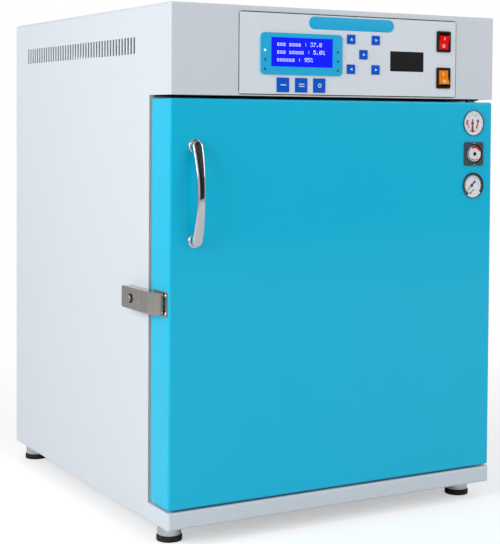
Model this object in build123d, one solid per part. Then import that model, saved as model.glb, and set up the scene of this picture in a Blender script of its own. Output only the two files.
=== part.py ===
from build123d import *
from math import radians, sin
import os

# A bench-top carbon dioxide incubator, in millimetres.
# Every piece is drawn from the cabinet's own corner: x runs right from its left side,
# y runs back from its front face and z runs up from its underside. At the end each
# piece is moved into the part's frame, whose origin is on the bench under the middle.

# Cabinet outside
cabinet_width = 548
cabinet_depth = 596
body_height = 712
foot_height = 26
sheet = 1.5
edge_radius = 3

# Bands of the front, from the underside up: plinth, door, head
plinth_height = 24
head_height = 124
head_bottom = body_height - head_height
deck_bottom = head_bottom + sheet
deck_top = deck_bottom + sheet
door_recess = 65
frame_back = door_recess + sheet

# Rear and base details
panel_flange = 12
rear_inset = 2
rear_face = cabinet_depth - rear_inset
rear_inner = rear_face - sheet
flange_front = rear_face - panel_flange
return_flange = 14
base_flange = 15
louvre_count = 7
louvre_length = 130
louvre_height = 4
louvre_pitch = 9
louvre_first = 17

# Chamber, a stainless box with coved edges, behind a step for the glass door
wall_side = 71.5
wall_above = 79.5
insulation_behind = 50
motor_room = 49
chamber_radius = 18
liner_sheet = 1
step_margin = 17
step_depth = 16
step_radius = 20
step_back = door_recess + step_depth
chamber_width = cabinet_width - 2 * wall_side
chamber_height = head_bottom - plinth_height - 2 * wall_above
chamber_mid_x = cabinet_width / 2
chamber_mid_z = (plinth_height + head_bottom) / 2
chamber_left = chamber_mid_x - chamber_width / 2
chamber_right = chamber_mid_x + chamber_width / 2
chamber_floor = chamber_mid_z - chamber_height / 2
chamber_ceiling = chamber_mid_z + chamber_height / 2
insulation_rear = rear_face - motor_room
chamber_rear = insulation_rear - insulation_behind

# Side vents
vent_count = 42
vent_width = 5.2
vent_height = 23.6
vent_front = 113
vent_rear_margin = 55.5
vent_pitch = (cabinet_depth - vent_front - vent_rear_margin - vent_width) / (vent_count - 1)
vent_bottom = head_bottom + 58

# Control panel plate in its recess
panel_left = 105
panel_right = cabinet_width - 73
panel_rise = 3
panel_margin_above = 9
panel_bottom = head_bottom + panel_rise
panel_top = body_height - panel_margin_above
panel_thickness = 2.8
panel_proud = 0.8
panel_back = panel_thickness - panel_proud
panel_radius = 2
panel_gap = 1.4
panel_ledge = 9
panel_ledge_low = 1

# What the plate carries, in the order that it stands across it
surround_width = 134
surround_height = 58
surround_thickness = 2
surround_radius = 6
screen_width = 101
screen_height = 40
screen_depth = 9
screen_frame = 16.5
module_side = 6
module_end = 4
key_large = (19.5, 19.5)
key_small = (13.5, 12.8)
arrow_spread = 21.3
black_window_width = 59.5
black_window_height = 28.6
window_lip = 3
bezel_width = 25
bezel_height = 31
rocker_margin = 10.5

# The plate's spare width is shared out between them
arrows_width = 2 * arrow_spread + key_small[0]
carried_width = surround_width + arrows_width + black_window_width + bezel_width + rocker_margin
spare_width = panel_right - panel_left - carried_width
surround_left = panel_left + 0.383 * spare_width
arrows_left = surround_left + surround_width + 0.104 * spare_width
black_window_left = arrows_left + arrows_width + 0.23 * spare_width
rocker_x = panel_right - rocker_margin - bezel_width / 2

# Heights of the same, above the plate's lower edge or below its upper one
large_key_z = panel_bottom + 12.8
surround_bottom = panel_bottom + 27
screen_bottom = surround_bottom + 11.5
arrow_centre = (arrows_left + arrows_width / 2, panel_bottom + 58.5)
black_window_bottom = panel_bottom + 36.2
rocker_low_z = panel_bottom + 27.8
rocker_high_z = panel_top - 30.1
large_key_first = surround_left + 36.3
large_key_pitch = 29.9
key_proud = 1.6
key_travel = 0.8
key_gap = 0.3
key_edge = 0.6
key_flange = 1.5
key_flange_thickness = 1.5
key_stem = 4

# Board behind the plate
board_depth = 16
board_thickness = 1.6
board_left_room = 25
board_right_room = 6
switch_width = 6
switch_height = 4
standoff_radius = 4
standoff_inset = 8
chip_count = 4
chip_width = 26
chip_height = 18
chip_thickness = 4.4

# Rocker switches
bezel_proud = 2
bezel_radius = 2
bezel_overlap = 2
rocker_width = 17
rocker_half_height = 10.3
rocker_tilt = 12
rocker_reach = 5
rocker_tail = 1.2
rocker_body_depth = 22
well_floor = 3
well_end_room = 2
trunnion_radius = 1.5
trunnion_length = 1.2
tab_thickness = 1
tab_width = 6
tab_length = 8

# Power supply on the deck
supply_width = 180
supply_depth = 130
supply_height = 48
supply_radius = 4
supply_left = 60
supply_front = 220
supply_slots = 15
supply_slot_width = 4
supply_slot_pitch = 10
supply_slot_margin = 20

# Door
door_width = cabinet_width - 1
gasket_room = 9
door_thickness = door_recess - gasket_room
door_gap_below = 3
door_gap_above = 4.5
door_bottom = plinth_height + door_gap_below
door_top = head_bottom - door_gap_above
door_sheet = 1.2
dish_depth = 6
dish_margin = 60
dish_margin_small = 15
gasket_width = 18
gasket_inset = 8
gasket_radius = 12
gasket_hinge_edge = door_width - 21
gasket_clearance = 0.3
hinge_from_back = 20
pivot_x = cabinet_width - 15
pivot_y = door_thickness - hinge_from_back
hinge_pin_radius = 4
hinge_bush_radius = 7
hinge_bush_length = 18
hinge_collar_radius = 8
running_clearance = 0.05

# Handle
handle_x = 37.5
handle_spacing = 128
handle_high_z = door_top - 64.3
handle_low_z = handle_high_z - handle_spacing
handle_reach = 22
handle_bar_thickness = 5
handle_end_width = 15.4
handle_waist_width = 11
rosette_radius = 10
rosette_thickness = 3

# Gauges and pressure regulator, in the door's front
gauge_x = door_width - 35.5
gauge_high_z = door_top - 31.5
regulator_z = door_top - 78.1
gauge_low_z = door_top - 126
gauge_radius = 19.6
gauge_bevel = 0.6
gauge_body_radius = 19
gauge_bore_radius = 18.6
gauge_proud = 1.8
gauge_body_depth = 24
dial_depth = 3
lens_thickness = 1
lens_sunk = 0.5
lens_gap = 0.05
needle_length = 13
needle_tail = 5
needle_tip_half = 0.4
needle_mid_half = 1.1
needle_tail_half = 0.8
needle_thickness = 0.6
needle_axle_radius = 0.6
needle_axle_length = 5
regulator_width = 35.7
regulator_height = 35.5
regulator_proud = 2.5
regulator_body_radius = 15
regulator_body_depth = 36
regulator_dish_radius = 15
regulator_dish_floor = 1
knob_radius = 12.8
knob_height = 2.5
knob_bevel = 0.8
knob_centre_radius = 3.2
knob_centre_depth = 1.2
knob_shaft_radius = 3
knob_shaft_length = 10

# Latch on the left side, and its strike plate on the door's edge
latch_z = chamber_mid_z
latch_height = 30
latch_out = 15
latch_seam = door_recess + 2
latch_case_length = 55
latch_sheet = 1.5
latch_fold = 36.7
latch_tip = 13
latch_tip_out = 8.5
latch_inner = 3.2
latch_gap = 0.3
latch_barrel_radius = 1.5
latch_pin_radius = 0.6
latch_screw_radius = 5
latch_screw_proud = 3.5
latch_slot_length = 7
latch_slot_width = 1.4
strike_length = 42
strike_height = 34.5
strike_front = 4
strike_thickness = 1.6
strike_radius = 3
strike_slot_width = 6

# Glass inner door
glass_thickness = 5
glass_margin = 5
glass_seat = 1
glass_pivot_out = 2
glass_pivot_ahead = 3.6
glass_pin_radius = 2
glass_barrel_radius = 3.5
glass_hinge_length = 20
glass_hinge_offset = 125
glass_leaf_thickness = 3
glass_knob_radius = 11
glass_knob_length = 8
glass_knob_ahead = 5

# Fan, heater and cover at the chamber's rear wall
cover_width = 248
cover_height = 236
cover_depth = 40
cover_sheet = 1
cover_radius = 12
cover_front = chamber_rear - cover_depth
inlet_slot_count = 20
inlet_slot_length = 24
inlet_slot_width = 4
inlet_ring_radius = 32
outlet_slot_count = 9
outlet_slot_height = 5
outlet_slot_depth = 18
outlet_slot_pitch = 22
outlet_slot_first = 30
impeller_radius = 58
impeller_width = 24
impeller_blades = 10
impeller_plate = 1.5
impeller_ring = 2
impeller_ring_width = 12
impeller_hub_radius = 9
impeller_gap = 8
blade_thickness = 1.4
blade_foot = 30
blade_lean = 22
fan_shaft_radius = 3
fan_shaft_reach = 12
heater_radius = 76
heater_tube_radius = 3.25
heater_setback = 22
heater_leg_offset = 10
motor_radius = 28
motor_length = 36
motor_flange = 74
motor_plate = 2
motor_bevel = 2
motor_bore_depth = 15

# Shelves, racks and water pan
shelf_front = 108
shelf_rear_gap = 12
shelf_depth = cover_front - shelf_rear_gap - shelf_front
shelf_sheet = 1.2
shelf_flange = 10
shelf_count = 3
shelf_first = 86
shelf_last = 119
shelf_pitch = (chamber_height - shelf_first - shelf_last) / (shelf_count - 1)
shelf_columns = 10
shelf_rows = 5
shelf_slot_width = 10
shelf_slot_web = 18
shelf_side_margin = 20
shelf_end_margin = 15
rack_standoff = 4
rack_sheet = 1.5
rack_stud_radius = 4
rack_stud_inset = 20
rack_end_gap = 4
rail_height = 15
rail_ledge = 12
rail_lip = 5
rail_inset = 6
upright_width = 14
upright_inset = 40
pan_width = chamber_width - 105
pan_depth = shelf_depth - 55
pan_height = 38
pan_sheet = 0.8
pan_rim = 8
pan_corner = 15
pan_base_radius = 5
slide_clearance = 0.3

# Probe and gas sensor, gas valve and access port, between the cover and the chamber's sides
right_column = (chamber_mid_x + cover_width / 2 + chamber_right) / 2
sensor_x = right_column
probe_z = chamber_ceiling - 38.5
probe_radius = 2.5
probe_length = 42
probe_collar_radius = 8
probe_collar_length = 4
gas_sensor_z = chamber_ceiling - 83.5
gas_sensor_radius = 13
gas_sensor_length = 44
gas_sensor_tail_radius = 8.5
sensor_tail = 4
gas_x = right_column
gas_z = chamber_ceiling - 168.5
gas_tube_radius = 4.05
gas_socket_wall = 3.8
gas_socket_depth = 16
gas_nut_wall = 6
gas_nut_length = 6
gas_nozzle_radius = 4.5
gas_nozzle_reach = 12
gas_jet_radius = 1.5
valve_width = 32
valve_height = 30
valve_setback = 8
coil_width = 28
coil_height = 40
coil_gap = 4
passage_room = 0.5
rear_reach = 18
port_x = (chamber_left + chamber_mid_x - cover_width / 2) / 2
port_z = chamber_ceiling - 53.5
port_radius = 15
port_wall = 3
port_inner_lip = 3
port_inner_flange = 1.5
port_flange_radius = 24
port_flange_thickness = 3
stopper_length = 34
stopper_head_wall = 6
stopper_head_length = 8

# Mains inlet in the rear panel
power_x = cabinet_width - 78
power_z = head_bottom + 67
power_width = 48
power_height = 28
power_rim = 4
power_plate = 2
power_depth = 30
socket_width = 24.5
socket_height = 17
socket_depth = 16
socket_radius = 3
pin_places = ((-7, -2), (0, 2), (7, -2))
pin_width = 2
pin_height = 4
pin_setback = 2

# Feet
foot_inset_side = 24.5
foot_inset_front = 47
foot_inset_rear = 30
sleeve_radius = 16.5
sleeve_bevel = 0.8
pad_radius = 18
pad_height = 7.7
pad_bevel = 1.2


def block(x_range, y_range, z_range):
    """A box between three pairs of planes."""
    size = [high - low for low, high in (x_range, y_range, z_range)]
    centre = [(high + low) / 2 for low, high in (x_range, y_range, z_range)]
    return Pos(*centre) * Box(*size)


def rounded_block(x_range, y_range, z_range, radius, axis=Axis.Y):
    """The same box with its four edges along one axis rounded."""
    solid = block(x_range, y_range, z_range)
    return fillet(solid.edges().filter_by(axis), radius)


def rod(start, radius, length, direction=(0, 1, 0)):
    """A cylinder that grows from a point along a direction."""
    alignment = (Align.CENTER, Align.CENTER, Align.MIN)
    return Plane(origin=start, z_dir=direction) * Cylinder(radius, length, align=alignment)


def around(centre, width):
    """The pair of planes that stand half a width either side of a centre."""
    return (centre - width / 2, centre + width / 2)


def grown(pair, amount):
    """A pair of planes moved apart by an amount each."""
    return (pair[0] - amount, pair[1] + amount)


full_x = (0, cabinet_width)
inner_x = grown(full_x, -sheet)
side_walls_from = (door_recess, cabinet_depth)
chamber_x = (chamber_left, chamber_right)
chamber_z = (chamber_floor, chamber_ceiling)
step_x = grown(chamber_x, step_margin)
step_z = grown(chamber_z, step_margin)
panel_x = (panel_left, panel_right)
panel_z = (panel_bottom, panel_top)
surround_x = (surround_left, surround_left + surround_width)
surround_z = (surround_bottom, surround_bottom + surround_height)
screen_x = (surround_left + screen_frame, surround_left + screen_frame + screen_width)
screen_z = (screen_bottom, screen_bottom + screen_height)
black_window_x = (black_window_left, black_window_left + black_window_width)
black_window_z = (black_window_bottom, black_window_bottom + black_window_height)

keys = {
    "key_large_left": (large_key_first, large_key_z, key_large),
    "key_large_middle": (large_key_first + large_key_pitch, large_key_z, key_large),
    "key_large_right": (large_key_first + 2 * large_key_pitch, large_key_z, key_large),
    "key_small_middle": (*arrow_centre, key_small),
}
for side, sign_x in (("left", -1), ("right", 1)):
    for level, sign_z in (("upper", 1), ("lower", -1)):
        key_x = arrow_centre[0] + sign_x * arrow_spread
        key_z = arrow_centre[1] + sign_z * arrow_spread
        keys[f"key_small_{level}_{side}"] = (key_x, key_z, key_small)


def painted_shell():
    """The cabinet's folded skin in one piece, before it is parted into panels."""
    outer = block(full_x, (0, cabinet_depth), (0, body_height))
    top_edges = outer.edges().group_by(Axis.Z)[-1]
    front_uprights = outer.edges().filter_by(Axis.Z).group_by(Axis.Y)[0]
    front_edges = top_edges.group_by(Axis.Y)[0] + front_uprights
    outer = fillet(top_edges.filter_by(Axis.Y) + front_edges, edge_radius)
    inner = block(inner_x, (sheet, cabinet_depth + sheet), (-sheet, body_height - sheet))
    top_edges = inner.edges().group_by(Axis.Z)[-1]
    front_uprights = inner.edges().filter_by(Axis.Z).group_by(Axis.Y)[0]
    inner_radius = edge_radius - sheet
    front_edges = top_edges.group_by(Axis.Y)[0] + front_uprights
    inner = fillet(top_edges.filter_by(Axis.Y) + front_edges, inner_radius)
    return outer - inner


def side_sheet(x_range):
    """A flat side: full height behind the door, and reaching forward beside the head."""
    lower = block(x_range, side_walls_from, (0, head_bottom))
    upper = block(x_range, (edge_radius, cabinet_depth), (head_bottom, body_height - edge_radius))
    slots = []
    for number in range(vent_count):
        slot_y = (vent_front + vent_pitch * number, vent_front + vent_pitch * number + vent_width)
        slots.append(block(grown(x_range, sheet), slot_y, (vent_bottom, vent_bottom + vent_height)))
    return lower + upper - slots


def side_panel_left():
    return side_sheet((0, sheet))


def side_panel_right():
    return side_sheet((cabinet_width - sheet, cabinet_width))


def head_cover():
    """Top sheet and head front in one, with a pressed recess that the control panel sits in."""
    above = block(grown(full_x, sheet), (-sheet, cabinet_depth + sheet), (head_bottom, body_height + sheet))
    flat_sides = [
        block(x_range, (edge_radius, cabinet_depth + sheet), (0, body_height - edge_radius))
        for x_range in ((-sheet, sheet), (cabinet_width - sheet, cabinet_width + sheet))
    ]
    cover = (painted_shell() & above) - flat_sides
    lower_return = block(grown(full_x, -edge_radius), (sheet / 2, return_flange), (head_bottom, deck_bottom))
    cover = cover + lower_return
    mouth_x, mouth_z = grown(panel_x, panel_gap), grown(panel_z, panel_gap)
    mouth_radius = panel_radius + panel_gap
    mouth = rounded_block(mouth_x, (-sheet, panel_back), mouth_z, mouth_radius)
    dish_z = (head_bottom, panel_top + panel_gap + sheet)
    dish = block(grown(mouth_x, sheet), (sheet / 2, panel_back + sheet), dish_z)
    behind_z = (panel_bottom + panel_ledge_low, panel_top - panel_ledge)
    through = block(grown(panel_x, -panel_ledge), (-sheet, panel_back + 2 * sheet), behind_z)
    return cover + dish - mouth - through


def base_pan():
    """Floor of the cabinet with upturned sides, and the plinth box across its front."""
    plinth = block(full_x, (0, door_recess), (0, plinth_height))
    front_edges = plinth.edges().group_by(Axis.Y)[0]
    plinth = fillet(front_edges, edge_radius)
    hollow_x = grown(full_x, -sheet)
    hollow_z = (sheet, plinth_height - sheet)
    plinth = plinth - block(hollow_x, (sheet, door_recess + sheet), hollow_z)
    floor = block(inner_x, (door_recess - sheet, rear_face), (0, sheet))
    side_y = (frame_back, flange_front)
    left_flange = block((sheet, 2 * sheet), side_y, (0, base_flange))
    right_flange = block((cabinet_width - 2 * sheet, cabinet_width - sheet), side_y, (0, base_flange))
    pin_hole = rod((pivot_x, pivot_y, plinth_height / 2), hinge_pin_radius, plinth_height, (0, 0, 1))
    return plinth + floor + left_flange + right_flange - pin_hole


def rear_panel():
    """Back of the cabinet: a tray with forward flanges, louvres and the fittings' holes."""
    panel_height_range = (sheet, body_height - sheet)
    tray = rounded_block(inner_x, (flange_front, rear_face), panel_height_range, edge_radius - sheet)
    hollow_z = grown(panel_height_range, -sheet)
    tray = tray - block(grown(inner_x, -sheet), (flange_front - sheet, rear_inner), hollow_z)
    cut_y = (rear_inner - sheet, rear_face + sheet)
    louvres = []
    for middle in (0.3 * cabinet_width, 0.6 * cabinet_width):
        for number in range(louvre_count):
            low = head_bottom + louvre_first + number * louvre_pitch
            louvres.append(block(around(middle, louvre_length), cut_y, (low, low + louvre_height)))
    port_hole = rod((port_x, flange_front, port_z), port_radius + port_wall, 2 * panel_flange)
    gas_hole_radius = gas_tube_radius + gas_socket_wall + slide_clearance
    gas_hole = rod((gas_x, flange_front, gas_z), gas_hole_radius, 2 * panel_flange)
    power_hole = block(power_hole_x(), cut_y, power_hole_z())
    return tray - louvres - port_hole - gas_hole - power_hole


def front_frame():
    """Welded inner frame: the face round the chamber, the step for the glass and the head's deck."""
    face = block(inner_x, (door_recess, frame_back), (sheet, deck_bottom))
    outer_y = (door_recess, step_back)
    outer_step = rounded_block(grown(step_x, sheet), outer_y, grown(step_z, sheet), step_radius + sheet)
    opening = rounded_block(step_x, (door_recess - sheet, step_back + sheet), step_z, step_radius)
    deck_y = (panel_back + 2 * sheet, flange_front - sheet)
    deck = block(inner_x, deck_y, (deck_bottom, deck_top))
    pin_hole = rod((pivot_x, pivot_y, deck_bottom - sheet), hinge_pin_radius, 3 * sheet, (0, 0, 1))
    ears = Part()
    for hinge_z in glass_hinge_heights():
        for end in (-1, 1):
            ear_z = hinge_z + end * (glass_hinge_length / 2 + sheet / 2)
            ear_x = (glass_pivot()[0] - glass_pin_radius - sheet, glass_pivot()[0] + glass_pin_radius + sheet)
            ear_y = (glass_pivot()[1] - glass_barrel_radius, door_recess)
            ears = ears + block(ear_x, ear_y, around(ear_z, sheet))
        pin_start = (*glass_pivot(), hinge_z - glass_hinge_length / 2 - sheet)
        ears = ears + rod(pin_start, glass_pin_radius, glass_hinge_length + 2 * sheet, (0, 0, 1))
    return face + outer_step - opening + deck - pin_hole + ears


def glass_pivot():
    """Axis of the glass door's hinges: x and y, just ahead of the frame, right of the opening."""
    return (step_x[1] + glass_pivot_out, door_recess - glass_pivot_ahead)


def glass_hinge_heights():
    return (chamber_mid_z - glass_hinge_offset, chamber_mid_z + glass_hinge_offset)


def chamber_liner():
    """Deep-drawn stainless chamber with coved edges and a flange that the step stands on."""
    outer_y = (step_back, chamber_rear + liner_sheet)
    outer = block(grown(chamber_x, liner_sheet), outer_y, grown(chamber_z, liner_sheet))
    outer = fillet(outer.edges().filter_by(Axis.Y), chamber_radius + liner_sheet)
    inner = block(chamber_x, (step_back - liner_sheet, chamber_rear), chamber_z)
    inner = fillet(inner.edges().filter_by(Axis.Y), chamber_radius)
    flange_y = (step_back, step_back + liner_sheet)
    flange = rounded_block(grown(step_x, sheet), flange_y, grown(step_z, sheet), step_radius + sheet)
    return outer + flange - inner - rear_wall_holes(0, 4 * liner_sheet)


def rear_wall_holes(room, length):
    """What passes through the chamber's rear wall: port, fan shaft, both sensors and the gas nozzle."""
    start = chamber_rear - liner_sheet
    return [
        rod((port_x, start, port_z), port_radius + port_wall + room, length),
        rod((chamber_mid_x, start, chamber_mid_z), fan_shaft_radius + 2 + room, length),
        rod((sensor_x, start, probe_z), probe_radius + passage_room + room, length),
        rod((sensor_x, start, gas_sensor_z), gas_sensor_tail_radius + passage_room + room, length),
        rod((gas_x, start, gas_z), gas_nozzle_radius + passage_room + room, length),
    ]


def fibre_insulation():
    """Fibre batts that fill the walls between the liner and the outer sheets."""
    batt_x = grown(inner_x, -sheet - slide_clearance)
    batt_z = (base_flange + 1, deck_bottom - slide_clearance)
    batt = block(batt_x, (frame_back + slide_clearance, insulation_rear), batt_z)
    room = sheet + 2 * slide_clearance
    step_y = (door_recess, step_back + liner_sheet + slide_clearance)
    step_room = block(grown(step_x, room), step_y, grown(step_z, room))
    liner_room = liner_sheet + slide_clearance
    liner_y = (step_back, chamber_rear + liner_room)
    chamber_room = block(grown(chamber_x, liner_room), liner_y, grown(chamber_z, liner_room))
    return batt - step_room - chamber_room - rear_wall_holes(slide_clearance, 2 * insulation_behind)


def control_panel():
    """Moulded plate in the head's recess, with windows for the screen, keys and switches."""
    plate = rounded_block(panel_x, (-panel_proud, panel_back), panel_z, panel_radius)
    through = (-panel_thickness, 2 * panel_thickness)
    cuts = [block(grown(screen_x, key_gap), through, grown(screen_z, key_gap))]
    cuts.append(block(grown(black_window_x, key_gap), through, grown(black_window_z, key_gap)))
    for key_x, key_z, (key_width, key_height) in keys.values():
        hole_x, hole_z = grown(around(key_x, key_width), key_gap), grown(around(key_z, key_height), key_gap)
        cuts.append(block(hole_x, through, hole_z))
    for rocker_z in (rocker_low_z, rocker_high_z):
        cuts.append(block(rocker_body_x(), through, rocker_body_z(rocker_z)))
    return plate - cuts


def rocker_body_x():
    return around(rocker_x, bezel_width - 2 * bezel_overlap)


def rocker_body_z(rocker_z):
    return around(rocker_z, bezel_height - 2 * bezel_overlap)


def display_surround():
    """Raised rounded frame round the screen."""
    face = (-panel_proud - surround_thickness, -panel_proud)
    frame = rounded_block(surround_x, face, surround_z, surround_radius)
    return frame - block(grown(screen_x, key_gap), grown(face, 1), grown(screen_z, key_gap))


def lcd_screen():
    """Screen glass in the surround's window, on a wider module behind the plate."""
    glass_front = -panel_proud - surround_thickness / 2
    glass = block(screen_x, (glass_front, panel_back), screen_z)
    module_y = (panel_back, panel_back + screen_depth)
    module = block(grown(screen_x, module_side), module_y, grown(screen_z, module_end))
    return glass + module


def display_window():
    """Dark window of the panel, flush with the plate and lipped behind it."""
    pane = block(black_window_x, (-panel_proud, panel_back), black_window_z)
    lip_y = (panel_back, panel_back + window_lip / 2)
    lip = block(grown(black_window_x, window_lip), lip_y, grown(black_window_z, window_lip))
    return pane + lip


def rocker_housings():
    """Two snap-in switch bodies, each with a bezel, a well and bearings for its rocker."""
    housings = Part()
    front = -panel_proud - bezel_proud
    for rocker_z in (rocker_low_z, rocker_high_z):
        bezel_z = around(rocker_z, bezel_height)
        bezel = rounded_block(around(rocker_x, bezel_width), (front, -panel_proud), bezel_z, bezel_radius)
        body_y = (-panel_proud, rocker_body_depth)
        body = block(rocker_body_x(), body_y, rocker_body_z(rocker_z))
        well_x = grown(around(rocker_x, rocker_width), slide_clearance)
        well_z = grown(around(rocker_z, 2 * rocker_half_height), well_end_room)
        well = block(well_x, (front - 1, rocker_pivot_y() + well_floor), well_z)
        bearing_reach = rocker_width / 2 + trunnion_length + slide_clearance
        bearing_start = (rocker_x - bearing_reach, rocker_pivot_y(), rocker_z)
        bearing = rod(bearing_start, trunnion_radius + running_clearance, 2 * bearing_reach, (1, 0, 0))
        tab_y = (rocker_body_depth, rocker_body_depth + tab_length)
        tabs = [
            block(around(rocker_x + offset, tab_thickness), tab_y, around(rocker_z, tab_width))
            for offset in (-tab_width, 0, tab_width)
        ]
        housings = housings + (bezel + body - well - bearing + tabs)
    return housings


def rocker_pivot_y():
    return -panel_proud - bezel_proud + rocker_reach + 0.5


def rocker(rocker_z, pressed_end):
    """A see-saw rocker with a hollow face, lying with one end pressed in."""
    rise = rocker_half_height * sin(radians(rocker_tilt))
    outline = [
        (-rocker_reach, 0),
        (-rocker_reach - rise, rocker_half_height),
        (-0.5, rocker_half_height),
        (rocker_tail, 0),
        (-0.5, -rocker_half_height),
        (-rocker_reach - rise, -rocker_half_height),
    ]
    with_profile = Plane.YZ * make_face(Polyline(*outline, close=True))
    paddle = extrude(with_profile, rocker_width / 2, both=True)
    trunnion_reach = rocker_width / 2 + trunnion_length
    trunnion = rod((-trunnion_reach, 0, 0), trunnion_radius, 2 * trunnion_reach, (1, 0, 0))
    turned = Rot(X=-pressed_end * rocker_tilt) * (paddle + trunnion)
    return Pos(rocker_x, rocker_pivot_y(), rocker_z) * turned


def key(key_x, key_z, key_size):
    """A square key cap with a retaining flange behind the plate and a stem to its switch."""
    key_width, key_height = key_size
    front = -panel_proud - key_proud
    flange_y = (panel_back + slide_clearance, panel_back + slide_clearance + key_flange_thickness)
    cap = block(around(key_x, key_width), (front, flange_y[1]), around(key_z, key_height))
    cap = fillet(cap.edges().group_by(Axis.Y)[0], key_edge)
    flange_x = grown(around(key_x, key_width), key_flange)
    flange = block(flange_x, flange_y, grown(around(key_z, key_height), key_flange))
    stem_end = board_depth - switch_height - slide_clearance - key_travel
    stem = block(around(key_x, key_stem), (flange_y[1], stem_end), around(key_z, key_stem))
    return cap + flange + stem


def control_board():
    """Circuit board behind the plate, on standoffs, with a push switch behind each key."""
    board_x = (panel_left + board_left_room, rocker_x - bezel_width / 2 - board_right_room)
    board_z = grown(panel_z, -panel_ledge - 2)
    board_back = board_depth + board_thickness
    board = block(board_x, (board_depth, board_back), board_z)
    switch_y = (board_depth - switch_height, board_depth)
    for key_x, key_z, size in keys.values():
        board = board + block(around(key_x, switch_width), switch_y, around(key_z, switch_width))
    for stand_x in grown(board_x, -standoff_inset):
        for stand_z in grown(board_z, -standoff_inset):
            board = board + rod((stand_x, panel_back, stand_z), standoff_radius, board_depth - panel_back)
    chip_z = around((panel_bottom + panel_top) / 2, chip_height)
    chip_pitch = (board_x[1] - board_x[0]) / chip_count
    for number in range(chip_count):
        chip_x = around(board_x[0] + chip_pitch * (number + 0.5), chip_width)
        board = board + block(chip_x, (board_back, board_back + chip_thickness), chip_z)
    return board


def power_supply():
    """Vented metal box on the deck that feeds the board, the heater and the fan."""
    box_x = (supply_left, supply_left + supply_width)
    box_y = (supply_front, supply_front + supply_depth)
    box_top = deck_top + supply_height
    box = rounded_block(box_x, box_y, (deck_top, box_top), supply_radius, Axis.Z)
    slots = [
        block(around(supply_left + supply_slot_margin + supply_slot_pitch * number, supply_slot_width),
              grown(box_y, -supply_slot_margin), (box_top - supply_slot_width / 2, box_top + 1))
        for number in range(supply_slots)
    ]
    return box - slots


def door_skin():
    """Painted outer tray of the door, with rounded front edges and the fittings' cut-outs."""
    door_x, door_z = (0, door_width), (door_bottom, door_top)
    outer = block(door_x, (0, door_thickness), door_z)
    front_edges = outer.edges().group_by(Axis.Y)[0]
    outer = fillet(front_edges + outer.edges().filter_by(Axis.Y), edge_radius)
    inner = block(grown(door_x, -door_sheet), (door_sheet, door_thickness + 1), grown(door_z, -door_sheet))
    inner = fillet(inner.edges().group_by(Axis.Y)[0] + inner.edges().filter_by(Axis.Y), edge_radius - door_sheet)
    bush_hole = rod((pivot_x, pivot_y, 0), hinge_bush_radius, body_height, (0, 0, 1))
    gauge_holes = [rod((gauge_x, -1, z), gauge_body_radius, 4) for z in (gauge_low_z, gauge_high_z)]
    regulator_hole = rod((gauge_x, -1, regulator_z), regulator_body_radius, 4)
    return outer - inner - bush_hole - gauge_holes - regulator_hole


def door_liner():
    """Inner panel of the door, dished in its middle to clear the glass door's knob."""
    panel_x_range = grown((0, door_width), -door_sheet)
    panel_z_range = grown((door_bottom, door_top), -door_sheet)
    plate_y = (door_thickness - door_sheet, door_thickness)
    plate = rounded_block(panel_x_range, plate_y, panel_z_range, edge_radius - door_sheet)
    dish_x = (dish_margin, step_x[1] - dish_margin_small)
    dish_z = grown(step_z, -dish_margin_small)
    floor = door_thickness - dish_depth - door_sheet
    outer_z = grown(dish_z, door_sheet)
    outer_dish = rounded_block(grown(dish_x, door_sheet), (floor, door_thickness), outer_z, step_radius)
    inner_y = (floor + door_sheet, door_thickness + 1)
    inner_dish = rounded_block(dish_x, inner_y, dish_z, step_radius - door_sheet)
    return plate + outer_dish - inner_dish


def door_core():
    """Insulating fill of the door, cut round the gauges, the regulator and the hinge bushes."""
    room = slide_clearance
    fill_x = grown((0, door_width), -door_sheet - room)
    fill_z = grown((door_bottom, door_top), -door_sheet - room)
    behind = door_thickness - dish_depth - door_sheet - room
    core = block(fill_x, (door_sheet + room, behind), fill_z)
    core = fillet(core.edges().filter_by(Axis.Y) + core.edges().group_by(Axis.Y)[0], edge_radius)
    bush_x = around(pivot_x, 3 * hinge_bush_radius)
    bush_y = (pivot_y - 1.5 * hinge_bush_radius, door_thickness)
    bushes = [
        block(bush_x, bush_y, (0, door_bottom + hinge_bush_length + 1)),
        block(bush_x, bush_y, (door_top - hinge_bush_length - 1, body_height)),
    ]
    well_radius, well_depth = gauge_body_radius + room, gauge_body_depth + room
    wells = [rod((gauge_x, 0, gauge_z), well_radius, well_depth) for gauge_z in (gauge_low_z, gauge_high_z)]
    wells.append(rod((gauge_x, 0, regulator_z), regulator_body_radius + room, regulator_body_depth + room))
    return core - bushes - wells


def door_gasket():
    """Soft sealing strip round the door's back, which all but meets the cabinet's frame."""
    back = door_recess - gasket_clearance
    outer_x = (gasket_inset, gasket_hinge_edge)
    outer_z = grown((door_bottom, door_top), -gasket_inset)
    strip = rounded_block(outer_x, (door_thickness, back), outer_z, gasket_radius)
    hole_y = (door_thickness - 1, back + 1)
    hole = block(grown(outer_x, -gasket_width), hole_y, grown(outer_z, -gasket_width))
    return strip - hole


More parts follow.
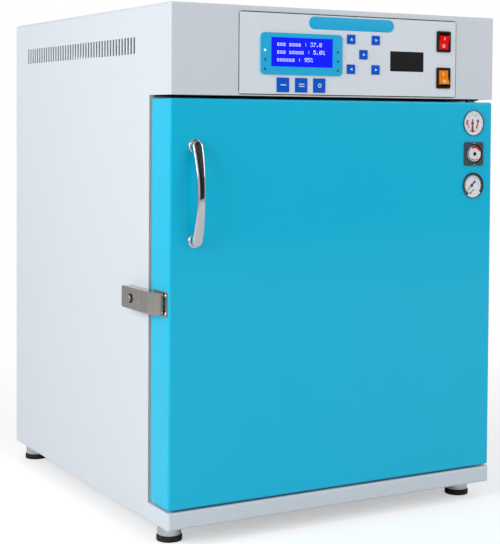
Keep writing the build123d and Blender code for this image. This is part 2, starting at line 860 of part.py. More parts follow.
def handle_bar():
    """Bow handle: a bar bent forward in its middle, with round ends and a narrower waist."""
    end_z = (handle_low_z - handle_end_width / 2, handle_high_z + handle_end_width / 2)
    middle_z = (handle_low_z + handle_high_z) / 2
    inner_end = -rosette_thickness
    outer_end = inner_end - handle_bar_thickness
    outer_mid = -handle_reach
    inner_mid = outer_mid + handle_bar_thickness
    outer_arc = ThreePointArc((outer_end, end_z[0]), (outer_mid, middle_z), (outer_end, end_z[1]))
    inner_arc = ThreePointArc((inner_end, end_z[0]), (inner_mid, middle_z), (inner_end, end_z[1]))
    caps = [Line((outer_end, z), (inner_end, z)) for z in end_z]
    bow = extrude(Plane.YZ * make_face([outer_arc, inner_arc, *caps]), handle_end_width, both=True)
    end_radius = handle_end_width / 2
    waist = handle_waist_width / 2
    right_side = ThreePointArc((end_radius, handle_low_z), (waist, middle_z), (end_radius, handle_high_z))
    left_side = ThreePointArc((-end_radius, handle_low_z), (-waist, middle_z), (-end_radius, handle_high_z))
    top = ThreePointArc((-end_radius, handle_high_z), (0, end_z[1]), (end_radius, handle_high_z))
    bottom = ThreePointArc((-end_radius, handle_low_z), (0, end_z[0]), (end_radius, handle_low_z))
    outline = extrude(Plane.XZ * make_face([right_side, top, left_side, bottom]), 2 * handle_reach)
    return Pos(X=handle_x) * (bow & outline)


def handle_posts():
    """Round rosettes with studs, between the bar's ends and the door."""
    posts = Part()
    for post_z in (handle_low_z, handle_high_z):
        rosette = rod((handle_x, -rosette_thickness, post_z), rosette_radius, rosette_thickness)
        rosette = fillet(rosette.edges().group_by(Axis.Y)[0], 1)
        posts = posts + rosette
    return posts


def strike_plate():
    """Plate on the door's left edge with a slot that the latch's tip closes over."""
    plate_y = (strike_front, strike_front + strike_length)
    plate_z = around(latch_z, strike_height)
    plate = rounded_block((-strike_thickness, 0), plate_y, plate_z, strike_radius, Axis.X)
    slot_y = around(latch_tip + latch_sheet, strike_slot_width)
    return plate - block((-strike_thickness - 1, 1), slot_y, around(latch_z, strike_height / 2))


def gauge_cases():
    """Two round gauge bodies with proud bezels, their dial faces and needle bearings."""
    cases = Part()
    for gauge_z in (gauge_low_z, gauge_high_z):
        bezel = rod((gauge_x, -gauge_proud, gauge_z), gauge_radius, gauge_proud)
        bezel = chamfer(bezel.edges().group_by(Axis.Y)[0], gauge_bevel)
        body = rod((gauge_x, 0, gauge_z), gauge_body_radius, gauge_body_depth)
        bore = rod((gauge_x, -gauge_proud - 1, gauge_z), gauge_bore_radius, gauge_proud + 1 + dial_depth)
        bearing_radius = needle_axle_radius + running_clearance
        bearing = rod((gauge_x, dial_depth, gauge_z), bearing_radius, needle_axle_length)
        cases = cases + (bezel + body - bore - bearing)
    return cases


def gauge_lenses():
    """Flat glass of each gauge, held just inside its bezel."""
    lenses = Part()
    for gauge_z in (gauge_low_z, gauge_high_z):
        lens_start = (gauge_x, -gauge_proud + lens_sunk, gauge_z)
        lenses = lenses + rod(lens_start, gauge_bore_radius - lens_gap, lens_thickness)
    return lenses


def gauge_needle(gauge_z, pointing):
    """A tapered pointer with a tail on its hub; the axle turns in the dial. pointing is clockwise from up."""
    outline = Polyline(
        (-needle_tip_half, needle_length),
        (needle_tip_half, needle_length),
        (needle_mid_half, 0),
        (needle_tail_half, -needle_tail),
        (-needle_tail_half, -needle_tail),
        (-needle_mid_half, 0),
        close=True,
    )
    blade = extrude(Plane.XZ * make_face(outline), needle_thickness)
    hub = rod((0, -1.5 * needle_thickness, 0), 3 * needle_axle_radius, 2.4 * needle_thickness)
    axle = rod((0, 0, 0), needle_axle_radius, needle_axle_length)
    turned = Rot(Y=pointing) * (blade + hub + axle)
    return Pos(gauge_x, dial_depth - 2 * needle_thickness, gauge_z) * turned


def regulator():
    """Pressure regulator: a square plate with a round dish in front, its body in the door."""
    plate_x, plate_z = around(gauge_x, regulator_width), around(regulator_z, regulator_height)
    plate = rounded_block(plate_x, (-regulator_proud, 0), plate_z, regulator_proud)
    plate = fillet(plate.edges().group_by(Axis.Y)[0], regulator_proud / 3)
    centre = (gauge_x, 0, regulator_z)
    dish_start = (gauge_x, -2 * regulator_proud, regulator_z)
    dish = rod(dish_start, regulator_dish_radius, 2 * regulator_proud - regulator_dish_floor)
    body = rod(centre, regulator_body_radius, 0.7 * regulator_body_depth)
    cap = rod(centre, 0.7 * regulator_body_radius, regulator_body_depth)
    bore_start = (gauge_x, -regulator_proud, regulator_z)
    bore_length = regulator_proud + knob_shaft_length
    bore = rod(bore_start, knob_shaft_radius + running_clearance, bore_length)
    return plate + body + cap - dish - bore


def regulator_knob():
    """Low turned knob with a bevelled rim, an index notch and a shaft in the regulator's bore."""
    back = -regulator_dish_floor - slide_clearance
    front = back - knob_height
    knob = rod((gauge_x, front, regulator_z), knob_radius, knob_height)
    knob = chamfer(knob.edges().group_by(Axis.Y)[0], knob_bevel)
    hollow = rod((gauge_x, front - 1, regulator_z), knob_centre_radius, 1 + knob_centre_depth)
    notch_z = (regulator_z + knob_radius / 2, regulator_z + knob_radius)
    notch = block(around(gauge_x, knob_centre_depth), (front - 1, front + knob_bevel), notch_z)
    shaft = rod((gauge_x, back, regulator_z), knob_shaft_radius, knob_shaft_length)
    return knob + shaft - hollow - notch


def hinge_pins():
    """Fixed pivot pins that hang from the head's deck and stand on the plinth, each with a collar."""
    up = (0, 0, 1)
    lower_low, lower_top = plinth_height - 2 * sheet, door_bottom + hinge_bush_length - 2 * sheet
    lower = rod((pivot_x, pivot_y, lower_low), hinge_pin_radius, lower_top - lower_low, up)
    collar_length = door_gap_below - slide_clearance
    lower_collar = rod((pivot_x, pivot_y, plinth_height), hinge_collar_radius, collar_length, up)
    upper_low, upper_top = door_top - hinge_bush_length + 2 * sheet, deck_top + 2
    upper = rod((pivot_x, pivot_y, upper_low), hinge_pin_radius, upper_top - upper_low, up)
    collar_low = door_top + slide_clearance
    upper_collar = rod((pivot_x, pivot_y, collar_low), hinge_collar_radius, deck_bottom - collar_low, up)
    return (lower + lower_collar) + (upper + upper_collar)


def hinge_bushes():
    """Plastic bushes in the door's top and bottom that turn on the pins."""
    bore_radius = hinge_pin_radius + running_clearance
    bore = rod((pivot_x, pivot_y, 0), bore_radius, body_height, (0, 0, 1))
    bushes = Part()
    for low in (door_bottom, door_top - hinge_bush_length):
        bush = rod((pivot_x, pivot_y, low), hinge_bush_radius, hinge_bush_length, (0, 0, 1))
        bushes = bushes + (bush - bore)
    return bushes


def latch_base():
    """Folded stainless case on the cabinet's side, with a round screw and half of the hinge barrel."""
    case_y = (latch_seam + latch_barrel_radius + latch_gap, latch_seam + latch_case_length)
    case_z = around(latch_z, latch_height)
    case = rounded_block((-latch_out, 0), case_y, case_z, 2 * latch_sheet, Axis.X)
    inside = block((-latch_out + latch_sheet, 1), grown(case_y, -latch_sheet), grown(case_z, -latch_sheet))
    screw_y = latch_seam + 0.47 * latch_case_length
    screw_front = -latch_out - latch_screw_proud
    screw = rod((screw_front, screw_y, latch_z), latch_screw_radius, latch_screw_proud, (1, 0, 0))
    screw = fillet(screw.edges().group_by(Axis.X)[0], 1)
    slot_x = (screw_front - 1, screw_front + 1)
    slot = block(slot_x, around(screw_y, latch_slot_length), around(latch_z, latch_slot_width))
    pin_room = rod((*latch_axis(), 0), latch_pin_radius, body_height, (0, 0, 1))
    pin = rod((*latch_axis(), case_z[0]), latch_pin_radius, latch_height, (0, 0, 1))
    webs = Part()
    for end in (-1, 1):
        web_z = around(latch_z + end * latch_height / 3, latch_height / 3 - latch_gap)
        web_y = (latch_seam, case_y[0] + latch_sheet)
        webs = webs + block((-latch_out, -latch_out + latch_sheet), web_y, web_z)
    return (case - inside) + screw - slot + latch_barrels((-1, 1)) + pin + (webs - pin_room)


def latch_axis():
    return (-latch_out + latch_barrel_radius / 2, latch_seam)


def latch_barrels(thirds):
    """Barrel lengths of the latch's hinge in the named thirds of its height, -1 to 1."""
    barrels = Part()
    for third in thirds:
        low = latch_z + third * latch_height / 3 - latch_height / 6 + latch_gap / 2
        length = latch_height / 3 - latch_gap
        barrels = barrels + rod((*latch_axis(), low), latch_barrel_radius, length, (0, 0, 1))
    return barrels


def latch_arm():
    """Folded stainless arm that swings out from the door's edge; its tip is drawn in."""
    rear = latch_seam - latch_barrel_radius - latch_gap
    outer = [
        (-latch_out, rear),
        (-latch_out, latch_fold),
        (-latch_tip_out, latch_tip),
        (-latch_inner, latch_tip),
        (-latch_inner, rear),
    ]
    inner = [
        (-latch_out + latch_sheet, rear + 1),
        (-latch_out + latch_sheet, latch_fold),
        (-latch_tip_out + latch_sheet, latch_tip + latch_sheet),
        (0, latch_tip + latch_sheet),
        (0, rear + 1),
    ]
    low = latch_z - latch_height / 2
    arm = extrude(Pos(Z=low) * make_face(Polyline(*outer, close=True)), latch_height)
    inner_face = Pos(Z=low + latch_sheet) * make_face(Polyline(*inner, close=True))
    hollow = extrude(inner_face, latch_height - 2 * latch_sheet)
    web_z = around(latch_z, latch_height / 3 - latch_gap)
    web = block((-latch_out, -latch_out + latch_sheet), (rear - latch_sheet, latch_seam), web_z)
    bore = rod((*latch_axis(), 0), latch_pin_radius + running_clearance, body_height, (0, 0, 1))
    return arm - hollow + web + latch_barrels((0,)) - bore


def inner_door_glass():
    """Toughened glass pane that closes the chamber inside the outer door."""
    back = step_back - glass_seat
    pane_x, pane_z = grown(step_x, -glass_margin), grown(step_z, -glass_margin)
    return rounded_block(pane_x, (back - glass_thickness, back), pane_z, step_radius - glass_margin)


def inner_door_fittings():
    """Hinge leaves clamped to the glass and the knob at its free edge."""
    glass_front = step_back - glass_seat - glass_thickness
    pivot = glass_pivot()
    fittings = Part()
    for hinge_z in glass_hinge_heights():
        leaf_z = around(hinge_z, glass_hinge_length - 2 * slide_clearance)
        low = (*pivot, leaf_z[0])
        barrel = rod(low, glass_barrel_radius, glass_hinge_length - 2 * slide_clearance, (0, 0, 1))
        leaf_y = around(pivot[1], glass_leaf_thickness)
        arm = block((step_x[1] - 3 * glass_margin, pivot[0]), leaf_y, leaf_z)
        pad_x = (step_x[1] - 5 * glass_margin, step_x[1] - 2 * glass_margin)
        pad = block(pad_x, (leaf_y[0], glass_front), leaf_z)
        bore = rod((*pivot, 0), glass_pin_radius + running_clearance, body_height, (0, 0, 1))
        fittings = fittings + (barrel + arm + pad - bore)
    knob_x = step_x[0] + 6 * glass_margin
    knob_start = (knob_x, door_recess - glass_knob_ahead, chamber_mid_z)
    knob = rod(knob_start, glass_knob_radius, glass_knob_length)
    knob = fillet(knob.edges().group_by(Axis.Y)[0], glass_knob_length / 4)
    stem = rod(knob_start, 0.6 * glass_knob_radius, glass_front - knob_start[1])
    return fittings + (knob + stem)


def rack(side):
    """Ladder rack beside the shelves: two uprights on wall studs, and a C-shaped rail for each shelf."""
    wall = chamber_left if side < 0 else chamber_right
    towards = -side

    def across(near, far):
        """A pair of planes at two distances from the chamber's side wall."""
        return tuple(sorted((wall + towards * near, wall + towards * far)))

    web = rack_standoff + 2 * rack_sheet
    solid = Part()
    upright_z = grown(chamber_z, -chamber_radius - rack_end_gap)
    for upright_y in (shelf_front + upright_inset, shelf_front + shelf_depth - upright_inset):
        upright_x = across(rack_standoff, rack_standoff + rack_sheet)
        solid = solid + block(upright_x, around(upright_y, upright_width), upright_z)
        for stud_z in grown(upright_z, -rack_stud_inset):
            stud = rod((wall, upright_y, stud_z), rack_stud_radius, rack_standoff, (towards, 0, 0))
            solid = solid + stud
    rail_y = (shelf_front + rail_inset, shelf_front + shelf_depth - rail_inset)
    for shelf_z in shelf_heights():
        ledge_top = shelf_z - shelf_flange - slide_clearance
        rail_z = (ledge_top - rack_sheet, ledge_top - rack_sheet + rail_height)
        solid = solid + block(across(web - rack_sheet, web), rail_y, rail_z)
        solid = solid + block(across(web - rack_sheet, web + rail_ledge), rail_y, (rail_z[0], ledge_top))
        solid = solid + block(across(web - rack_sheet, web + rail_lip), rail_y, (rail_z[1] - rack_sheet, rail_z[1]))
    return solid


def shelf_racks():
    return rack(-1) + rack(1)


def shelf_heights():
    """Heights of the shelves' top faces, from the lowest up."""
    return [chamber_floor + shelf_first + shelf_pitch * number for number in range(shelf_count)]


def shelf(shelf_z):
    """Perforated shelf with turned-down edges; it slides in the racks' rails."""
    clear = rack_standoff + 2 * rack_sheet + slide_clearance
    shelf_x = grown(chamber_x, -clear)
    shelf_y = (shelf_front, shelf_front + shelf_depth)
    tray = block(shelf_x, shelf_y, (shelf_z - shelf_flange, shelf_z))
    tray = tray - block(grown(shelf_x, -shelf_sheet), grown(shelf_y, -shelf_sheet), (0, shelf_z - shelf_sheet))
    pitch_x = (shelf_x[1] - shelf_x[0] - 2 * shelf_side_margin) / shelf_columns
    pitch_y = (shelf_depth - 2 * shelf_end_margin) / shelf_rows
    slots = []
    for column in range(shelf_columns):
        slot_x = around(shelf_x[0] + shelf_side_margin + pitch_x * (column + 0.5), shelf_slot_width)
        for row in range(shelf_rows):
            slot_middle = shelf_front + shelf_end_margin + pitch_y * (row + 0.5)
            slot_y = around(slot_middle, pitch_y - shelf_slot_web)
            slots.append(block(slot_x, slot_y, around(shelf_z, 3 * shelf_sheet)))
    return tray - slots


def water_pan():
    """Shallow humidity pan with rounded corners and a flat rim, on the chamber's floor."""
    low = chamber_floor + slide_clearance
    pan_x = around(chamber_mid_x, pan_width)
    pan_y = (shelf_front, shelf_front + pan_depth)
    top = low + pan_height
    body = rounded_block(grown(pan_x, -pan_rim), grown(pan_y, -pan_rim), (low, top), pan_corner, Axis.Z)
    body = fillet(body.edges().group_by(Axis.Z)[0], pan_base_radius)
    hollow_x, hollow_y = grown(pan_x, -pan_rim - pan_sheet), grown(pan_y, -pan_rim - pan_sheet)
    hollow = rounded_block(hollow_x, hollow_y, (low + pan_sheet, top + 1), pan_corner - pan_sheet, Axis.Z)
    hollow = fillet(hollow.edges().group_by(Axis.Z)[0], pan_base_radius - pan_sheet)
    rim = rounded_block(pan_x, pan_y, (top - pan_sheet, top), pan_corner + pan_rim / 2, Axis.Z)
    return body + rim - hollow


def plenum_cover():
    """Cover over the fan: slotted inlet in the middle, outlet slots in both sides."""
    cover_x, cover_z = around(chamber_mid_x, cover_width), around(chamber_mid_z, cover_height)
    cover_y = (cover_front, chamber_rear)
    tray = rounded_block(cover_x, cover_y, cover_z, cover_radius)
    inside_y = (cover_front + cover_sheet, chamber_rear + 1)
    inside_z = grown(cover_z, -cover_sheet)
    inside = rounded_block(grown(cover_x, -cover_sheet), inside_y, inside_z, cover_radius - cover_sheet)
    inlet = Plane(origin=(chamber_mid_x, cover_front, chamber_mid_z), z_dir=(0, 1, 0))
    inlet_slot = Box(inlet_slot_length, inlet_slot_width, cover_depth / 4)
    inlet_slots = [inlet * place * inlet_slot for place in PolarLocations(inlet_ring_radius, inlet_slot_count)]
    outlet_y = around((cover_front + chamber_rear) / 2, outlet_slot_depth)
    outlet_slots = []
    for number in range(outlet_slot_count):
        slot_z = around(cover_z[0] + outlet_slot_first + outlet_slot_pitch * number, outlet_slot_height)
        outlet_slots.append(block(grown(cover_x, 1), outlet_y, slot_z))
    return tray - inside - inlet_slots - outlet_slots


def fan_impeller():
    """Fan wheel with curved blades between a back plate and a front ring, on its shaft."""
    growing = (Align.CENTER, Align.CENTER, Align.MIN)
    wheel_back = (chamber_mid_x, cover_front + impeller_gap + impeller_width, chamber_mid_z)
    back_plate = Cylinder(impeller_radius, impeller_plate, align=growing)
    hub = Cylinder(impeller_hub_radius, 0.7 * impeller_width, align=growing)
    ring = Cylinder(impeller_radius, impeller_ring, align=growing)
    ring = ring - Cylinder(impeller_radius - impeller_ring_width, 4 * impeller_ring)
    ring = Pos(Z=impeller_width - impeller_ring) * ring
    blade_tip = (impeller_radius - impeller_plate, blade_lean)
    blade_middle = ((blade_foot + impeller_radius) / 2, blade_lean / 3)
    blade_line = ThreePointArc((blade_foot, 0), blade_middle, blade_tip)
    blade = extrude(trace(blade_line, blade_thickness), impeller_width - impeller_ring / 2)
    wheel = back_plate + hub + ring + [place * blade for place in PolarLocations(0, impeller_blades)]
    shaft_length = insulation_rear + fan_shaft_reach - wheel_back[1]
    return Plane(origin=wheel_back, z_dir=(0, -1, 0)) * wheel + rod(wheel_back, fan_shaft_radius, shaft_length)


def fan_motor():
    """Motor behind the insulation on a square flange; the fan's shaft runs in its bore."""
    flange_y = (insulation_rear, insulation_rear + motor_plate)
    flange = block(around(chamber_mid_x, motor_flange), flange_y, around(chamber_mid_z, motor_flange))
    body = rod((chamber_mid_x, insulation_rear, chamber_mid_z), motor_radius, motor_length)
    body = chamfer(body.edges().group_by(Axis.Y)[-1], motor_bevel)
    bore_start = (chamber_mid_x, insulation_rear - 1, chamber_mid_z)
    bore = rod(bore_start, fan_shaft_radius + running_clearance, 1 + motor_bore_depth)
    return flange + body - bore


def heating_element():
    """Ring heater round the fan wheel, with two legs bent into the rear wall."""
    ring_y = cover_front + heater_setback
    ring_plane = Plane(origin=(chamber_mid_x, ring_y, chamber_mid_z), z_dir=(0, 1, 0))
    ring = ring_plane * Torus(heater_radius, heater_tube_radius)
    leg_z = chamber_mid_z - heater_radius
    legs = [
        rod((chamber_mid_x + offset, ring_y, leg_z), heater_tube_radius, chamber_rear - ring_y)
        for offset in (-heater_leg_offset, heater_leg_offset)
    ]
    return ring + legs


def chamber_sensors():
    """Temperature probe and gas sensor on the rear wall, their heads through the insulation."""
    tail = insulation_behind + sensor_tail
    probe = rod((sensor_x, chamber_rear - probe_length, probe_z), probe_radius, probe_length + tail)
    collar_start = (sensor_x, chamber_rear - probe_collar_length, probe_z)
    collar = rod(collar_start, probe_collar_radius, probe_collar_length)
    head = rod((sensor_x, chamber_rear - gas_sensor_length, gas_sensor_z), gas_sensor_radius, gas_sensor_length)
    head = fillet(head.edges().group_by(Axis.Y)[0], gas_sensor_radius / 4)
    stem = rod((sensor_x, chamber_rear, gas_sensor_z), gas_sensor_tail_radius, tail)
    return (probe + collar) + (head + stem)


def gas_valve():
    """Solenoid valve behind the rear panel: push-in socket outside, nozzle into the chamber."""
    socket_end = cabinet_depth + rear_reach
    socket = rod((gas_x, rear_inner, gas_z), gas_tube_radius + gas_socket_wall, socket_end - rear_inner)
    nut = rod((gas_x, rear_face, gas_z), gas_tube_radius + gas_nut_wall, gas_nut_length)
    body_front = insulation_rear + valve_setback
    body = block(around(gas_x, valve_width), (body_front, rear_inner), around(gas_z, valve_height))
    coil_y = (body_front + coil_gap / 2, rear_inner - coil_gap)
    coil_z = (gas_z + valve_height / 2, gas_z + valve_height / 2 + coil_height)
    coil = rounded_block(around(gas_x, coil_width), coil_y, coil_z, coil_gap, Axis.Z)
    nozzle_start = chamber_rear - gas_nozzle_reach
    nozzle = rod((gas_x, nozzle_start, gas_z), gas_nozzle_radius, body_front + 1 - nozzle_start)
    mouth = rod((gas_x, socket_end - gas_socket_depth, gas_z), gas_tube_radius, 2 * gas_socket_depth)
    jet = rod((gas_x, nozzle_start - 1, gas_z), gas_jet_radius, gas_nozzle_reach)
    return socket + nut + body + coil + nozzle - mouth - jet


def power_inlet():
    """Mains inlet in the rear panel, with its socket well and three pins."""
    plate_y = (rear_face, rear_face + power_plate)
    plate_x, plate_z = grown(power_hole_x(), power_rim), grown(power_hole_z(), power_rim)
    plate = rounded_block(plate_x, plate_y, plate_z, socket_radius)
    body = block(power_hole_x(), (rear_face - power_depth, rear_face), power_hole_z())
    well_y = (rear_face - socket_depth, plate_y[1] + 1)
    well = rounded_block(around(power_x, socket_width), well_y, around(power_z, socket_height), socket_radius)
    pin_y = (rear_face - socket_depth - 2, rear_face - pin_setback)
    pins = [
        block(around(power_x + across, pin_width), pin_y, around(power_z + up, pin_height))
        for across, up in pin_places
    ]
    return plate + body - well + pins


def power_hole_x():
    return around(power_x, power_width)


def power_hole_z():
    return around(power_z, power_height)


def port_tube():
    """Access port: a tube through the rear wall with a flange at each end."""
    outer_radius = port_radius + port_wall
    start, end = chamber_rear - port_inner_flange, rear_face + port_flange_thickness
    tube = rod((port_x, start, port_z), outer_radius, end - start)
    inner_flange = rod((port_x, start, port_z), outer_radius + port_inner_lip, port_inner_flange)
    outer_flange = rod((port_x, rear_face, port_z), port_flange_radius, port_flange_thickness)
    bore = rod((port_x, start - 1, port_z), port_radius, end - start + 2)
    return tube + inner_flange + outer_flange - bore


def port_stopper():
    """Soft stopper that plugs the access port and pulls out backwards by its head."""
    tube_end = rear_face + port_flange_thickness
    plug_start = (port_x, tube_end - stopper_length, port_z)
    plug = rod(plug_start, port_radius - running_clearance, stopper_length + 1)
    plug = chamfer(plug.edges().group_by(Axis.Y)[0], 1)
    head_start = (port_x, tube_end + slide_clearance, port_z)
    head = rod(head_start, port_radius + stopper_head_wall, stopper_head_length)
    head = fillet(head.edges().group_by(Axis.Y)[-1], stopper_head_length / 4)
    return plug + head


def foot_places():
    """Centres of the four feet."""
    across = (foot_inset_side, cabinet_width - foot_inset_side)
    along = (foot_inset_front, cabinet_depth - foot_inset_rear)
    return [(x, y) for x in across for y in along]


def foot_sleeves():
    """Polished sleeves that carry the cabinet on its feet."""
    sleeves = Part()
    for x, y in foot_places():
        sleeve = rod((x, y, pad_height - foot_height), sleeve_radius, foot_height - pad_height, (0, 0, 1))
        sleeves = sleeves + chamfer(sleeve.edges().group_by(Axis.Z)[0], sleeve_bevel)
    return sleeves


def foot_pads():
    """Rubber pads that stand on the bench."""
    pads = Part()
    for x, y in foot_places():
        pad = rod((x, y, -foot_height), pad_radius, pad_height, (0, 0, 1))
        pads = pads + chamfer(pad.edges().group_by(Axis.Z)[-1], pad_bevel)
    return pads


# The part's frame: origin on the bench, under the middle of everything that sticks out
latch_reach = latch_out + latch_screw_proud
frame_x = (latch_reach - cabinet_width) / 2
frame_y = handle_reach - (handle_reach + cabinet_depth + rear_reach) / 2
to_frame = Pos(frame_x, frame_y, foot_height)

low_shelf, middle_shelf, high_shelf = shelf_heights()
pieces = {
    "side_panel_left": side_panel_left(),
    "side_panel_right": side_panel_right(),
    "head_cover": head_cover(),
    "base_pan": base_pan(),
    "rear_panel": rear_panel(),
    "front_frame": front_frame(),
    "chamber_liner": chamber_liner(),
    "fibre_insulation": fibre_insulation(),
    "control_panel": control_panel(),
    "display_surround": display_surround(),
    "lcd_screen": lcd_screen(),
    "display_window": display_window(),
    "rocker_housings": rocker_housings(),
    "power_rocker": rocker(rocker_high_z, -1),
    "lamp_rocker": rocker(rocker_low_z, 1),
    "control_board": control_board(),
    "power_supply": power_supply(),
    "door_skin": door_skin(),
    "door_liner": door_liner(),
    "door_core": door_core(),
    "door_gasket": door_gasket(),
    "handle_bar": handle_bar(),
    "handle_posts": handle_posts(),
    "strike_plate": strike_plate(),
    "gauge_cases": gauge_cases(),
    "gauge_lenses": gauge_lenses(),
    "gauge_needle_upper": gauge_needle(gauge_high_z, 180),
    "gauge_needle_lower": gauge_needle(gauge_low_z, 225),
    "regulator": regulator(),
    "regulator_knob": regulator_knob(),
    "hinge_pins": hinge_pins(),
    "hinge_bushes": hinge_bushes(),
    "latch_base": latch_base(),
    "latch_arm": latch_arm(),
    "inner_door_glass": inner_door_glass(),
    "inner_door_fittings": inner_door_fittings(),
    "shelf_racks": shelf_racks(),
    "shelf_lower": shelf(low_shelf),
    "shelf_middle": shelf(middle_shelf),
    "shelf_upper": shelf(high_shelf),
    "water_pan": water_pan(),
    "plenum_cover": plenum_cover(),
    "fan_impeller": fan_impeller(),
    "fan_motor": fan_motor(),
    "heating_element": heating_element(),
    "chamber_sensors": chamber_sensors(),
    "gas_valve": gas_valve(),
    "power_inlet": power_inlet(),
    "port_tube": port_tube(),
    "port_stopper": port_stopper(),
    "foot_sleeves": foot_sleeves(),
    "foot_pads": foot_pads(),
}
for name, (key_x, key_z, key_size) in keys.items():
    pieces[name] = key(key_x, key_z, key_size)

os.makedirs("parts", exist_ok=True)
for name, solid in pieces.items():
    export_step(to_frame * solid, f"parts/{name}.step")
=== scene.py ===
import bmesh
import bpy
import numpy as np
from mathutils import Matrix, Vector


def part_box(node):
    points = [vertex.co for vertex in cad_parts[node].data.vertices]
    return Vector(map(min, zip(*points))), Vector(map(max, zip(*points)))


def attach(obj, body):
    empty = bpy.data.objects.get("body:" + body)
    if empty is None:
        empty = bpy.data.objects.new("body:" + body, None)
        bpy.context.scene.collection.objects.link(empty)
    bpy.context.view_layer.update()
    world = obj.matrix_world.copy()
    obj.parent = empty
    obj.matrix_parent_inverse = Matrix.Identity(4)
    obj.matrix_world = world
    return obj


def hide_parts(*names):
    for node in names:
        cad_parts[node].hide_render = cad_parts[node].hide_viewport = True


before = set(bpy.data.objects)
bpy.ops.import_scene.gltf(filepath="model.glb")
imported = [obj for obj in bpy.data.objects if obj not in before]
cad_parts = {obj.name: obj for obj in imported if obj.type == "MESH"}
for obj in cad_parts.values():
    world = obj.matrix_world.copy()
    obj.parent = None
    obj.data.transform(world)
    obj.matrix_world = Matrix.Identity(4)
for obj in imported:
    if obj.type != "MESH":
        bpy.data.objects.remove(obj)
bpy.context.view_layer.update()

# Camera
# The view is from the left front, at about the height of the control panel. Place, turn and focal
# length come from fitting a pinhole camera to the cabinet's corners; px are pixels of a 500 x 544 frame.
frame_width_px, frame_height_px = 500, 544
camera_place = np.array([-1.0625, -1.9252, 0.5819])
camera_yaw, camera_pitch, camera_roll = -0.51483, np.radians(-2.0), 0.00638
focal_px = 1359.7
centre_px = (250.8, 166.6)
sensor_width = 36.0

level_right = np.array([np.cos(camera_yaw), np.sin(camera_yaw), 0.0])
level_forward = np.array([-np.sin(camera_yaw), np.cos(camera_yaw), 0.0])
forward = np.cos(camera_pitch) * level_forward + np.array([0, 0, np.sin(camera_pitch)])
upward = np.cross(level_right, forward)
right = np.cos(camera_roll) * level_right + np.sin(camera_roll) * upward
camera_data = bpy.data.cameras.new("camera")
camera_data.sensor_width = sensor_width
camera_data.lens = focal_px * sensor_width / frame_height_px
camera_data.shift_x = (frame_width_px / 2 - centre_px[0]) / frame_height_px
camera_data.shift_y = (centre_px[1] - frame_height_px / 2) / frame_height_px
camera = bpy.data.objects.new("camera", camera_data)
turn = np.eye(4)
turn[:3, 0], turn[:3, 1], turn[:3, 2] = right, np.cross(right, forward), -forward
turn[:3, 3] = camera_place
camera.matrix_world = turn.T
bpy.context.scene.collection.objects.link(camera)
bpy.context.scene.camera = camera
bpy.context.scene.view_settings.view_transform = "Standard"


# Studio
# One large soft lamp stands to the left, a weaker one in front, and a white room fills in.
# The floor is pale card: it keeps the shadow near the object and turns white further out.
def linear(colour):
    """An sRGB hex colour such as "#20A0D0" as linear RGBA, by the sRGB transfer curve."""
    srgb = np.array([int(colour[i:i + 2], 16) for i in (1, 3, 5)]) / 255
    low, high = srgb / 12.92, ((srgb + 0.055) / 1.055) ** 2.4
    return (*np.where(srgb <= 0.04045, low, high), 1.0)


def add(tree, kind, sockets=None, **settings):
    """Adds one shader node. Settings are its properties; a socket gets a value or another node's output."""
    node = tree.nodes.new("ShaderNode" + kind)
    for name, value in settings.items():
        setattr(node, name, value)
    for name, value in (sockets or {}).items():
        if isinstance(value, bpy.types.NodeSocket):
            tree.links.new(value, node.inputs[name])
        else:
            node.inputs[name].default_value = value
    return node


def seen_directly(tree):
    """1 for camera and glass rays, and 0 for the rays that light a surface or mirror in it."""
    path = add(tree, "LightPath")
    return add(tree, "Math", {0: path.outputs["Is Camera Ray"], 1: path.outputs["Is Transmission Ray"]},
               operation="MAXIMUM").outputs[0]


room_light = 0.50
room = bpy.data.worlds.new("white_room")
room.use_nodes = True
tree = room.node_tree
strength = add(tree, "MapRange", {0: seen_directly(tree), 3: room_light, 4: 1.0})
tree.nodes["Background"].inputs["Color"].default_value = linear("#FFFFFF")
tree.links.new(strength.outputs[0], tree.nodes["Background"].inputs["Strength"])
bpy.context.scene.world = room

floor_half, shadow_reach, white_from = 6.0, 0.5, 1.3
floor_mesh = bpy.data.meshes.new("floor")
floor_mesh.from_pydata([(-floor_half, -floor_half, 0), (floor_half, -floor_half, 0),
                        (floor_half, floor_half, 0), (-floor_half, floor_half, 0)], [], [(0, 1, 2, 3)])
floor = bpy.data.objects.new("floor", floor_mesh)
bpy.context.scene.collection.objects.link(floor)
card = bpy.data.materials.new("white_card")
card.use_nodes = True
tree = card.node_tree
shader = tree.nodes["Principled BSDF"]
shader.inputs["Base Color"].default_value = linear("#E4E4E4")
shader.inputs["Roughness"].default_value = 0.9
shader.inputs["Specular IOR Level"].default_value = 0.0
glow = add(tree, "Emission", {"Color": linear("#FFFFFF"), "Strength": 1.0})
lift = add(tree, "Emission", {"Color": linear("#FFFFFF"), "Strength": 0.42})
lifted = add(tree, "AddShader", {0: shader.outputs[0], 1: lift.outputs[0]})
away = add(tree, "VectorMath", {0: add(tree, "TexCoord").outputs["Object"]}, operation="LENGTH")
fade = add(tree, "MapRange", {0: away.outputs["Value"], 1: shadow_reach, 2: white_from})
shown = add(tree, "MixShader", {0: fade.outputs[0], 1: lifted.outputs[0], 2: glow.outputs[0]})
both = add(tree, "MixShader", {0: seen_directly(tree), 1: shader.outputs[0], 2: shown.outputs[0]})
tree.links.new(both.outputs[0], tree.nodes["Material Output"].inputs["Surface"])
floor_mesh.materials.append(card)

